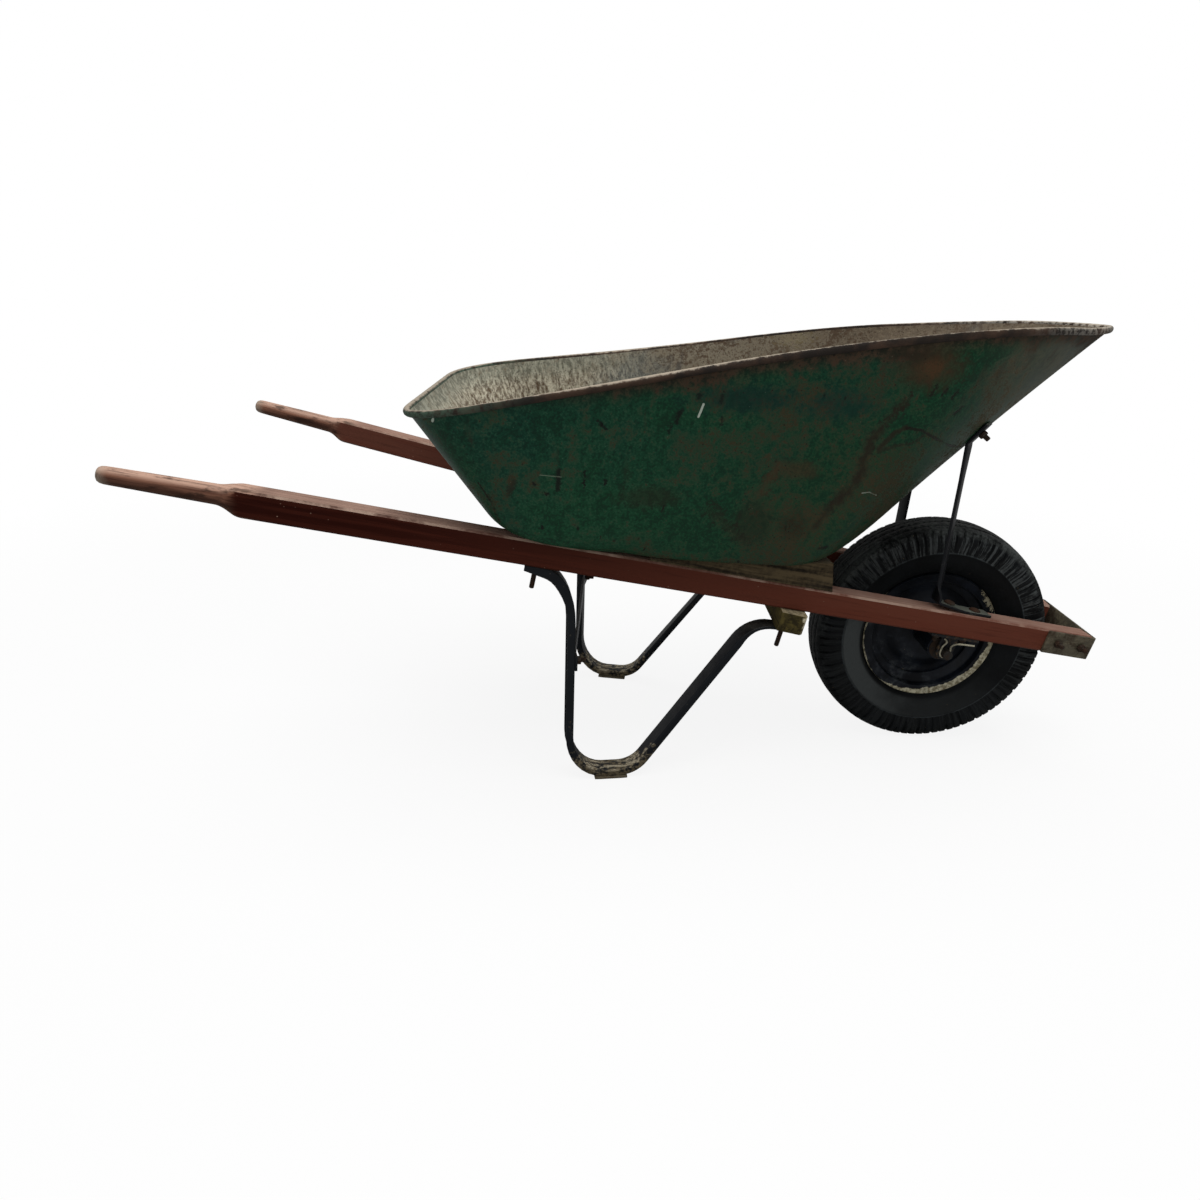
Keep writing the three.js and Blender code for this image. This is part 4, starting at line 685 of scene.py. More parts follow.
@dataclass(frozen=True)
class DullSteel:
    """Old unpainted steel with brown rust in patches."""

    name: str
    steel: Colour
    rust: Colour
    rusty: float = 0.5
    metal: float = 0.45

    def material(self) -> Paint:
        """Builds the steel."""
        g = Graph(self.name)
        fine = g.noise(160.0, 6.0, 0.68)
        patch = g.noise(30.0, 6.0, 0.64, twist=0.4)
        streak = g.streaks((60.0, 60.0, 260.0), 5.0, 0.6)
        stain = (patch * 0.5 + fine * 0.35 + streak * 0.15 + (self.rusty - 0.5) * 0.3).band(0.46, 0.60)
        colour = g.mix(fine.band(0.36, 0.66), shaded(self.steel, 0.5), self.steel)
        rust = g.mix(patch.band(0.42, 0.62), shaded(self.rust, 0.4), self.rust)
        colour = g.mix(stain * 0.9, colour, rust)
        roughness = 0.52 + stain * 0.34
        return g.surface(colour, roughness, (1.0 - stain) * self.metal,
                         g.bump(fine * 0.7 + stain * 0.3, 0.0009, 0.85), 0.25)


@dataclass(frozen=True)
class Rubber:
    """Black rubber: dusty on the tread, ribbed on the shoulder, with painted highlights on the shoulder ribs, the
    ridge and the crown, and a painted grey sheen on the sidewall's lower left and bottom.
    """

    black: Colour = srgb(9, 11, 12)
    dust: Colour = srgb(84, 88, 86)

    def material(self) -> Paint:
        """Builds the rubber."""
        g = Graph("tyre_rubber")
        x, y, z = g.axes()
        dx = x - AXLE.x
        dz = z - AXLE.z
        radius = (dx * dx + dz * dz) ** 0.5
        fine = g.noise(190.0, 5.0, 0.68)
        patch = g.noise(16.0, 5.0, 0.62)
        colour = g.mix(patch.band(0.36, 0.66), self.black, srgb(17, 20, 22))
        shoulder = radius.band(0.1555, 0.1575) * (1.0 - radius.band(0.186, 0.190))
        rays = g.noise(1.0, 4.0, 0.6, g.joined(dx / radius * 36.0, dz / radius * 36.0, radius * 14.0))
        # painted highlights on the shoulder ribs, stronger towards the upper right
        rib_highlight = shoulder * (rays * 0.8 + fine * 0.2).band(0.47, 0.57)
        colour = g.mix(rib_highlight * (0.10 + (dz + dx * 0.5).band(-0.05, 0.15) * 0.6), colour, srgb(80, 84, 84))
        tread = radius.band(0.184, 0.192)
        dusty = tread * (patch * 0.6 + fine * 0.6).band(0.50, 0.72) * (0.15 + dz.band(-0.05, 0.15) * 0.55)
        colour = g.mix(dusty, colour, self.dust)
        # painted highlight mottling the crown of the tread
        crown = radius.band(0.1975, 0.2008) * (1.0 - abs(y).band(0.030, 0.040)) * fine.band(0.40, 0.62)
        colour = g.mix(crown * 0.45, colour, srgb(84, 84, 82))
        # painted highlight along the ridge on the sidewall
        ridge_highlight = 1.0 - (abs(radius - 0.1568) + (fine - 0.5) * 0.002).band(0.0006, 0.0018)
        colour = g.mix(ridge_highlight * patch.band(0.38, 0.56) * 0.55, colour, srgb(66, 72, 74))
        # painted sheen on the sidewall, at the lower left
        wall = (1.0 - radius.band(0.153, 0.157)) * radius.band(0.121, 0.127)
        lit = (dx * -0.88 - dz * 0.42) / radius
        sheen = wall * (lit + (patch - 0.5) * 0.7).band(0.45, 0.88)
        colour = g.mix(sheen * 0.85, colour, srgb(72, 76, 76))
        # painted sheen along the bottom of the sidewall
        lower = wall * (dz * -1.0 / radius + (patch - 0.5) * 0.5).band(0.45, 0.98)
        colour = g.mix(lower * 0.40, colour, srgb(52, 55, 55))
        specks = g.cells(75.0).band(0.06, 0.03) * fine.band(0.46, 0.56)
        colour = g.mix(specks * 0.8, colour, srgb(120, 104, 72))
        roughness = 0.62 - sheen * 0.20 + dusty * 0.2
        return g.surface(colour, roughness, 0.0, g.bump(fine, 0.0006, 0.8), 0.14)


@dataclass(frozen=True)
class RimPaint:
    """Navy-black paint on the wheel, with a ragged ring of old cream paint round its flange."""

    navy: Colour = srgb(9, 12, 17)
    cream: Colour = srgb(206, 200, 174)
    edge: float = 0.1170

    def material(self) -> Paint:
        """Builds the paint."""
        g = Graph("rim_paint")
        x, _, z = g.axes()
        dx = x - AXLE.x
        dz = z - AXLE.z
        radius = (dx * dx + dz * dz) ** 0.5
        fine = g.noise(150.0, 6.0, 0.70)
        patch = g.noise(30.0, 5.0, 0.62)
        colour = g.mix(patch.band(0.38, 0.66), self.navy, srgb(22, 27, 35))
        toward = (dx * 0.60 - dz * 0.80) / radius
        left = (dx * -1.0 / radius).band(0.55, 0.95)
        high = (dx * 0.92 + dz * 0.38) / radius
        reach = toward.band(0.05, 0.95) * 0.0125 + left * 0.0030
        torn = high.band(0.84, 0.97) * (patch * 0.5 + fine * 0.5).band(0.44, 0.56) * 0.012
        reach = reach.most(torn)
        ragged = (patch - 0.5) * 0.010 + (fine - 0.5) * 0.008
        ring = (reach + ragged * reach.band(0.0, 0.004) - (self.edge - radius)).band(-0.0003, 0.0008)
        worn = ring * reach.band(0.0008, 0.0020) * radius.band(0.0990, 0.1010)
        tone = g.mix(fine.band(0.40, 0.60), srgb(128, 120, 96), self.cream)
        colour = g.mix(worn * 0.95, colour, g.mix(high.band(0.7, 0.9) * 0.6, tone, srgb(104, 96, 74)))
        cloud = (patch * 0.6 + fine * 0.4).band(0.50, 0.64) * (dx * -0.7 - dz * 0.7).band(0.02, 0.07)
        colour = g.mix(cloud * 0.28, colour, srgb(96, 100, 100))
        chips = g.cells(80.0).band(0.09, 0.04) * patch.band(0.50, 0.60)
        colour = g.mix(chips * 0.7, colour, srgb(132, 122, 96))
        roughness = 0.42 + worn * 0.40 + (fine - 0.5) * 0.15
        return g.surface(colour, roughness, 0.0, g.bump(fine * 0.5 + worn * 0.5, 0.0007, 0.8), 0.16)


# Modelling


class Bench:
    """The modelling operations that the pieces share."""

    @staticmethod
    def clear() -> None:
        """Selects nothing."""
        if bpy.context.object and bpy.context.object.mode != "OBJECT":
            bpy.ops.object.mode_set(mode="OBJECT")
        bpy.ops.object.select_all(action="DESELECT")

    @staticmethod
    def take(piece: Piece) -> Piece:
        """Selects one piece alone and makes it the active one."""
        Bench.clear()
        piece.select_set(True)
        bpy.context.view_layer.objects.active = piece
        return piece

    @staticmethod
    def settle(piece: Piece) -> Piece:
        """Puts a piece's place into its mesh, so that its object sits at the origin."""
        Bench.take(piece)
        bpy.ops.object.transform_apply(location=True, rotation=True, scale=True)
        return piece

    @staticmethod
    def modify(piece: Piece, kind: str, **settings: object) -> None:
        """Adds a modifier with its settings and applies it."""
        Bench.take(piece)
        modifier = piece.modifiers.new(kind.lower(), kind)
        for key, value in settings.items():
            setattr(modifier, key, value)
        bpy.ops.object.modifier_apply(modifier=modifier.name)

    @staticmethod
    def smooth(piece: Piece, angle: float) -> None:
        """Smooths the shading over edges flatter than an angle in degrees."""
        Bench.take(piece)
        bpy.ops.object.shade_smooth_by_angle(angle=math.radians(angle))

    @staticmethod
    def copy_of(node: str, name: str) -> Piece:
        """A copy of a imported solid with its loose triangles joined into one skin.

        Args:
            node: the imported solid's name.
            name: the new piece's name.

        Returns:
            The new piece.
        """
        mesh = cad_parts[node].data.copy()
        piece = bpy.data.objects.new(name, mesh)
        bpy.context.scene.collection.objects.link(piece)
        mesh.materials.clear()
        Bench.take(piece)
        bpy.ops.object.mode_set(mode="EDIT")
        bpy.ops.mesh.select_all(action="SELECT")
        bpy.ops.mesh.remove_doubles(threshold=2e-6)
        bpy.ops.mesh.dissolve_limited(angle_limit=math.radians(1.0))
        bpy.ops.object.mode_set(mode="OBJECT")
        return piece

    @staticmethod
    def fit(piece: Piece, body: str, slot: str, replaced: Sequence[str], angle: float,
            *finishes: Paint) -> Piece:
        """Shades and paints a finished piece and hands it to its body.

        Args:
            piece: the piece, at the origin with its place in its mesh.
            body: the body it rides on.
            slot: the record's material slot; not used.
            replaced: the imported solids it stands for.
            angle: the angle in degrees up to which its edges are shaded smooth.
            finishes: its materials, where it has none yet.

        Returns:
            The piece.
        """
        Bench.smooth(piece, angle)
        for finish in finishes:
            piece.data.materials.append(finish)
        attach(piece, body)
        if replaced:
            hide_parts(*replaced)
        return piece

    @staticmethod
    def drawn_out(name: str, rings: Sequence[Sequence[Vector]], looped: bool = False,
                  closed: bool = True) -> Piece:
        """A skin made from a circle that is extruded ring by ring.

        Args:
            name: the piece's name.
            rings: the points of each ring, all rings with the same number of points.
            looped: whether the last ring is joined to the first.
            closed: whether the ends are filled, where the rings aren't looped.

        Returns:
            The new piece.
        """
        Bench.clear()
        count = len(rings[0])
        bpy.ops.mesh.primitive_circle_add(vertices=count, radius=0.01, fill_type="NOTHING")
        piece = bpy.context.object
        piece.name = name
        bpy.ops.object.mode_set(mode="EDIT")
        mesh = bmesh.from_edit_mesh(piece.data)
        order = mesh.verts.layers.int.new("order")
        mesh.verts.ensure_lookup_table()
        for index, vert in enumerate(mesh.verts):
            vert[order] = index
            vert.co = rings[0][index]
        bmesh.update_edit_mesh(piece.data)
        for ring in rings[1:]:
            bpy.ops.mesh.extrude_edges_move()
            mesh = bmesh.from_edit_mesh(piece.data)
            order = mesh.verts.layers.int["order"]
            for vert in mesh.verts:
                if vert.select:
                    vert.co = ring[vert[order]]
            bmesh.update_edit_mesh(piece.data)
        if looped:
            bpy.ops.mesh.select_all(action="SELECT")
            bpy.ops.mesh.remove_doubles(threshold=1e-6)
        elif closed:
            bpy.ops.mesh.select_all(action="DESELECT")
            bpy.ops.mesh.select_non_manifold(extend=False)
            bpy.ops.mesh.edge_face_add()
        bpy.ops.mesh.select_all(action="SELECT")
        bpy.ops.mesh.normals_make_consistent(inside=False)
        bpy.ops.object.mode_set(mode="OBJECT")
        return Bench.settle(piece)

    @staticmethod
    def spun(name: str, outline: Sequence[Point2], steps: int) -> Piece:
        """A ring turned round the axle from a closed section of (radius, y) points, in so many facets."""
        rings = [around_axle(2 * math.pi * (step % steps) / steps, outline) for step in range(steps + 1)]
        return Bench.drawn_out(name, rings, looped=True)


def around_axle(angle: float, section: Sequence[Point2]) -> list[Vector]:
    """A section of (radius, y) points, turned round the axle from straight up."""
    return [AXLE + Vector((radius * math.sin(angle), y, radius * math.cos(angle))) for radius, y in section]


def shaft_frame(side: Side) -> Matrix:
    """Where a point in a shaft's own frame lies: X along the shaft, its origin over the axle."""
    chassis = Matrix.Translation((AXLE.x, 0, AXLE.z + SHAFT_OVER_AXLE)) @ Matrix.Rotation(FALL, 4, "Y")
    return chassis @ Matrix.Translation((0, side * SHAFT_SPREAD / 2, 0)) @ Matrix.Rotation(-side * TOE_IN, 4, "Z")


def node_points(node: str) -> np.ndarray:
    """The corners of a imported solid, each one once."""
    points = np.array([vert.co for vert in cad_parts[node].data.vertices])
    return np.unique(points.round(6), axis=0)


# Sub-assemblies


@dataclass
class Tray:
    """The pressed steel tray with its rolled edge.

    Attributes:
        sheet, bead: the steel's thickness and the rolled edge's diameter.
        seat_blend: how softly the floor bends from the shafts to the wedges.
        rim_height, rim_rise, rim_crown, rim_sweep: the height of the edge at the rear, its rise to the nose, its arch
            and its S-shaped sweep.
        lean: how much lower the left edge lies than the right one, at the middle; lean_runs: the shares of the
            length it fades over at rear and nose, and the width it grows over.
        fillet_inward, fillet_up: how far the bend reaches into the floor, and up the sides, the rear and the nose.
        riser: the wedges' place, length, height and thin end.
        handle_height: the shafts' height; seat_gap: the play under the tray.
        rim, floor: the plan of the edge and of the floor.
        steps: points along half the rear, the corner, the flank and the nose.
        floor_shares, bend_steps, wall_steps: where the rings lie in the floor, the bend and the walls.
        bead_start, bead_turn, bead_steps: the first ring's angle on the edge, the angle between rings, their number.
    """

    sheet: float = 0.0016
    bead: float = 0.0104
    seat_blend: float = 0.008
    rim_height: float = 0.594
    rim_rise: float = 0.126
    rim_crown: float = 0.021
    rim_sweep: float = 0.006
    lean: float = 0.011
    lean_runs: tuple[float, float, float] = (0.5, 0.26, 0.15)
    fillet_inward: float = 0.036
    fillet_up: tuple[float, float, float] = (0.056, 0.034, 0.108)
    riser: tuple[float, float, float, float] = (-0.221, 0.300, 0.049, 0.003)
    handle_height: float = 0.040
    seat_gap: float = 0.0003
    rim: dict = field(default_factory=lambda: {
        "rear": -0.862, "half_rear": 0.285, "corner": 0.118, "shoulder": -0.091, "half_front": 0.222,
        "nose": 0.200, "side_hold": 0.37, "nose_hold": 0.2})
    floor: dict = field(default_factory=lambda: {
        "rear": -0.737, "half_rear": 0.243, "corner": 0.070, "shoulder": -0.281, "half_front": 0.196,
        "nose": -0.186, "side_hold": 0.54, "nose_hold": 0.56})
    steps: tuple[int, int, int, int] = (8, 16, 22, 34)
    floor_shares: tuple[float, ...] = (0.02, 0.15, 0.3, 0.45, 0.6, 0.75, 0.9)
    bend_steps: int = 12
    wall_steps: int = 16
    bead_start: float = -1.5
    bead_turn: float = 0.35
    bead_steps: int = 14

    def outline(self, rear: float, half_rear: float, corner: float, shoulder: float, half_front: float,
                nose: float, side_hold: float, nose_hold: float) -> list[Vector]:
        """The plan of one edge, from the middle of the rear round the right side to the nose and back."""
        side = Vector((shoulder - rear, half_front - half_rear)).normalized()
        start = Vector((rear, half_rear)) + side * corner
        hold = side_hold * (nose - shoulder)
        straight, bend, flank, prow = self.steps
        half = [Vector((rear, (half_rear - corner) * k / straight)) for k in range(1, straight + 1)]
        for k in range(1, bend + 1):
            t = k / bend
            half.append(Vector((rear, half_rear - corner)) * (1 - t) ** 2
                        + Vector((rear, half_rear)) * 2 * t * (1 - t) + start * t * t)
        half += [start.lerp(Vector((shoulder, half_front)), k / flank) for k in range(1, flank + 1)]
        curve = [Vector((shoulder, half_front)), Vector((shoulder, half_front)) + side * hold,
                 Vector((nose, nose_hold * half_front)), Vector((nose, 0))]
        for k in range(1, prow + 1):
            t = k / prow
            weights = ((1 - t) ** 3, 3 * t * (1 - t) ** 2, 3 * t * t * (1 - t), t ** 3)
            half.append(sum((p * w for p, w in zip(curve, weights)), Vector((0, 0))))
        right = [Vector((p.x, -p.y)) for p in half[:-1]]
        return [Vector((rear, 0)), *right, Vector((nose, 0)), *reversed(half[:-1])]

    def rim_at(self, x: float, y: float) -> float:
        """The height of the rolled edge's centre."""
        share = (x - self.rim["rear"]) / (self.rim["nose"] - self.rim["rear"])
        rear_run, front_run, half = self.lean_runs
        lean = self.lean * eased(share / rear_run) * eased((1 - share) / front_run) * min(max(y / half, -1.0), 1.0)
        return (self.rim_height + self.rim_rise * share + self.rim_crown * 4 * share * (1 - share)
                - self.rim_sweep * math.sin(2 * math.pi * share) - lean)

    def floor_at(self, x: float) -> float:
        """The underside of the floor, which rests on the shafts behind and on the wedges in front."""
        slope = math.tan(FALL)
        middle = AXLE.z + SHAFT_OVER_AXLE
        at, length, height, thin = self.riser
        on_handle = middle + self.handle_height / 2 / math.cos(FALL) - slope * x
        pitch = math.atan((height - thin) / length)
        over = self.handle_height / 2 + self.seat_gap + height
        on_riser = middle + over / math.cos(FALL) - slope * at - math.tan(FALL - pitch) * (x - at)
        apart = on_handle - on_riser
        return on_riser + (apart + math.hypot(apart, self.seat_blend)) / 2 + self.seat_gap

    def rings(self) -> tuple[list[list[Vector]], int, int]:
        """The rings of points from the middle of the floor up the outside, over the edge and down the inside.

        Returns:
            The rings, and the numbers of the first and last ring of the edge.
        """
        rim, floor = self.outline(**self.rim), self.outline(**self.floor)
        centre = Vector(((self.floor["rear"] + self.floor["nose"]) / 2, 0, 0))
        columns = []
        for edge, base in zip(rim, floor):
            bead = Vector((edge.x, edge.y, self.rim_at(edge.x, edge.y)))
            inward = Vector((base.x - edge.x, base.y - edge.y, 0))
            run = inward.length
            inward.normalize()
            corner = Vector((base.x, base.y, self.floor_at(base.x)))
            up = bead + inward * self.bead / 2 - corner
            end = inward.x
            side_up, rear_up, front_up = self.fillet_up
            fillet = side_up + end * end * ((rear_up if end > 0 else front_up) - side_up)
            columns.append((bead, inward, corner, up.normalized(), math.atan2(run, up.z), fillet))

        def flat(share: float) -> list[Vector]:
            """A ring in the floor, at a share of the way out."""
            points = []
            for _, inward, corner, *_ in columns:
                point = centre.lerp(corner + inward * self.fillet_inward, share)
                point.z = self.floor_at(point.x)
                points.append(point)
            return points

        def bend(t: float) -> list[Vector]:
            """A ring in the bend between floor and walls."""
            points = []
            for _, inward, corner, wall, _, fillet in columns:
                low = corner + inward * self.fillet_inward
                low.z = self.floor_at(low.x)
                high = corner + wall * fillet
                points.append(low * (1 - t) ** 2 + corner * 2 * t * (1 - t) + high * t * t)
            return points

        def rolled(angle: float) -> list[Vector]:
            """A ring round the rolled edge."""
            return [bead - inward * math.cos(angle) * self.bead / 2 + Vector((0, 0, math.sin(angle) * self.bead / 2))
                    for bead, inward, *_ in columns]

        joint = math.pi + math.acos(1 - self.sheet / (self.bead / 2))
        top = rolled(joint)
        foot = bend(1.0)
        bends = [k / self.bend_steps for k in range(self.bend_steps + 1)]
        walls = [k / self.wall_steps for k in range(1, self.wall_steps)]
        skin = [flat(share) for share in self.floor_shares] + [bend(t) for t in bends]
        skin += [[low.lerp(high, share) for low, high in zip(foot, top)] for share in walls]
        tilt = [0.0] * len(self.floor_shares) + bends + [1.0] * len(walls)
        inside = []
        for ring, share in zip(skin, tilt):
            points = []
            for point, (_, inward, _, _, lean, _) in zip(ring, columns):
                angle = math.pi / 2 - share * (math.pi / 2 - lean)
                points.append(point + inward * math.cos(angle) * self.sheet
                              + Vector((0, 0, math.sin(angle) * self.sheet)))
            inside.append(points)
        bead_rings = [rolled(self.bead_start + self.bead_turn * k) for k in range(self.bead_steps)]
        rings = [*skin, top, *bead_rings, *reversed(inside)]
        first = len(skin) + 1
        return rings, first, first + len(bead_rings) - 1

    def build(self) -> Piece:
        """Draws the tray out ring by ring and dresses it."""
        rings, first, last = self.rings()
        shift = Vector((AXLE.x, 0, 0))
        rings = [[point + shift for point in ring] for ring in rings]
        piece = Bench.drawn_out("tray_skin", rings)
        mesh = piece.data
        count = len(rings[0])
        drops = [max(self.rim_at(vert.co.x - shift.x, vert.co.y) - vert.co.z, 0.0) for vert in mesh.vertices]
        mesh.attributes.new("drop", "FLOAT", "POINT").data.foreach_set("value", drops)
        for finish in (TrayOutside(), RimBead(), TrayInside()):
            mesh.materials.append(finish.material())
        for face in mesh.polygons:
            ring = min(face.vertices) // count
            face.material_index = 0 if ring < first else 1 if ring < last else 2
        return Bench.fit(piece, "frame", "tray_paint", ["tray"], 50)


@dataclass
class Shaft:
    """One wooden shaft with its turned grip.

    Attributes:
        side: the side it lies on.
        length, width, height: its whole size; chamfer: how far its long edges are cut.
        nose: how far it reaches past the axle.
        grip_length, grip, tip: the grip's length and its diameters at the shoulder and the end.
        cap: the rounded end, as distances and shares of the end's radius.
        shoulder, swell, curve: the length of the shoulder, how far its circle grows past the shaft's corner, and
            the power of its growth.
        lift: how far the grip's centre lies above the shaft's.
        blend: how crisply circle and rectangle meet.
        square: how many times its corner the circle measures along the plain shaft, which leaves it square.
    """

    side: Side
    length: float = 1.548
    nose: float = 0.254
    width: float = 0.037
    height: float = 0.040
    chamfer: float = 0.003
    grip_length: float = 0.149
    shoulder: float = 0.040
    grip: float = 0.029
    tip: float = 0.025
    lift: float = 0.003
    blend: float = 11.0
    cap: tuple[Point2, ...] = (
        (0.0, 0.42), (0.0006, 0.62), (0.0020, 0.78), (0.005, 0.92), (0.010, 0.985), (0.016, 1.0))
    swell: float = 1.30
    curve: float = 1.75
    square: float = 8.0

    def section(self, reach: float) -> list[Vector]:
        """The shaft's eased rectangle, blended with a circle and turned down to it where it is smaller."""
        wide, tall = self.width / 2, self.height / 2
        corners = (math.atan2(tall - self.chamfer, wide), math.atan2(tall, wide - self.chamfer))
        angles = {round(2 * math.pi * k / 32, 5) for k in range(32)}
        for corner in corners:
            angles |= {round(angle, 5) for angle in (
                corner, math.pi - corner, math.pi + corner, 2 * math.pi - corner)}
        points = []
        for angle in sorted(angles):
            y, z = math.cos(angle), math.sin(angle)
            room = min(wide / max(abs(y), 1e-6), tall / max(abs(z), 1e-6),
                       (wide + tall - self.chamfer) / (abs(y) + abs(z)))
            points.append(Vector((0, y, z)) * (reach ** -self.blend + room ** -self.blend) ** (-1 / self.blend))
        return points

    def build(self) -> Piece:
        """Draws the shaft out from its rounded end to its nose."""
        start = self.nose - self.length
        grip, tip = self.grip / 2, self.tip / 2
        full = math.hypot(self.width / 2, self.height / 2)
        stops = [(x, tip * share) for x, share in self.cap]
        round_end, shoulder_end = self.cap[-1][0], self.grip_length + self.shoulder
        stops += [(round_end + (self.grip_length - round_end) * k / 6, tip + (grip - tip) * k / 6)
                  for k in range(1, 7)]
        growth = full * self.swell - grip
        stops += [(self.grip_length + self.shoulder * k / 20, grip + growth * (k / 20) ** self.curve)
                  for k in range(1, 21)]
        stops += [(shoulder_end + (self.length - shoulder_end) * k / 16, full * self.square) for k in range(1, 17)]
        place = shaft_frame(self.side)
        rings = []
        for x, reach in stops:
            middle = Vector((start + x, 0, self.lift * (1 - eased((x - self.grip_length) / self.shoulder))))
            rings.append([place @ (middle + point) for point in self.section(reach)])
        return Bench.fit(Bench.drawn_out(f"shaft_{self.side.label}", rings), "frame", "handle_paint",
                         [f"handle_{self.side.label}"], 28, ShaftPaint(self.side).material())


@dataclass
class Brace:
    """One flat strap from a shaft up to the front of the tray, turned on its way to face the tray.

    Attributes:
        side: the side it stands on.
        knee: its upper bend, measured from the axle.
        across: the direction across its flat upper end.
        up, out: the directions along that end and away from the tray.
        turn: how far the upright is turned from the wheel's axis.
    """

    side: Side
    knee: Point
    across: Point
    up: Point
    out: Point
    turn: float
    width: float = 0.025
    sheet: float = 0.0045
    bend: float = 0.0072
    foot_back: float = -0.043
    foot_flat: float = 0.012
    foot_front: float = 0.058
    foot_lift: float = 0.008
    tab: float = 0.040
    low_turn: float = 0.030
    high_turn: float = 0.050
    shaft_top: float = 0.0203

    def stops(self) -> list[tuple[Vector, Vector, Vector]]:
        """The middle of the strap, the direction across it and the way its sheet lies, from the foot up."""
        place = shaft_frame(self.side)
        turned = place.to_3x3()
        across, lift = turned @ Vector((0, self.side, 0)), turned @ Vector((0, 0, 1))
        knee = Vector(self.knee) + Vector((AXLE.x, 0, 0))
        back = place @ Vector((self.foot_back, 0, self.shaft_top + self.foot_lift))
        rise = (knee - back).normalized()
        top_across, top_up, top_out = Vector(self.across), Vector(self.up), Vector(self.out)

        def facing(direction: Vector) -> Vector:
            """The way the sheet lies, where its width runs in a direction."""
            return direction.cross(rise).normalized() * self.side

        made = []
        for k in range(7):
            share = k / 6
            x = self.foot_front + (self.foot_back + self.bend / 2 - self.foot_front) * share
            ramp = min(max((self.foot_flat - x) / (self.foot_flat - self.foot_back), 0.0), 1.0)
            made.append((place @ Vector((x, 0, self.shaft_top + self.foot_lift * ramp)), across, lift))
        made.append((back + rise * self.bend / 4, across, lift + facing(across)))
        turned_across = Vector((-math.sin(self.turn), self.side * math.cos(self.turn), 0))
        for k in range(9):
            way = across.lerp(turned_across, eased(k / 8))
            made.append((back + rise * (self.bend + self.low_turn * k / 8), way, facing(way)))
        for k in range(9):
            way = turned_across.lerp(top_across, k / 8)
            made.append((knee - rise * (self.bend + self.high_turn * (1 - k / 8)), way, facing(way)))
        made.append((knee, top_across, facing(top_across) + top_out))
        made += [(knee + top_up * (self.bend + (self.tab - self.bend) * k / 3), top_across, top_out)
                 for k in range(4)]
        return made

    def build(self, paint: Paint) -> Piece:
        """Draws the strap out and eases its edges."""
        rings = []
        for middle, across, lift in self.stops():
            half, thick = across.normalized() * self.width / 2, lift.normalized() * self.sheet
            rings.append([middle - half, middle + half, middle + half + thick, middle - half + thick])
        piece = Bench.drawn_out(f"tray_brace_{self.side.label}_strap", rings)
        Bench.modify(piece, "BEVEL", width=0.0007, segments=2, limit_method="ANGLE", angle_limit=math.radians(50))
        return Bench.fit(piece, "frame", "brace_paint", [f"tray_brace_{self.side.label}"], 40, paint)


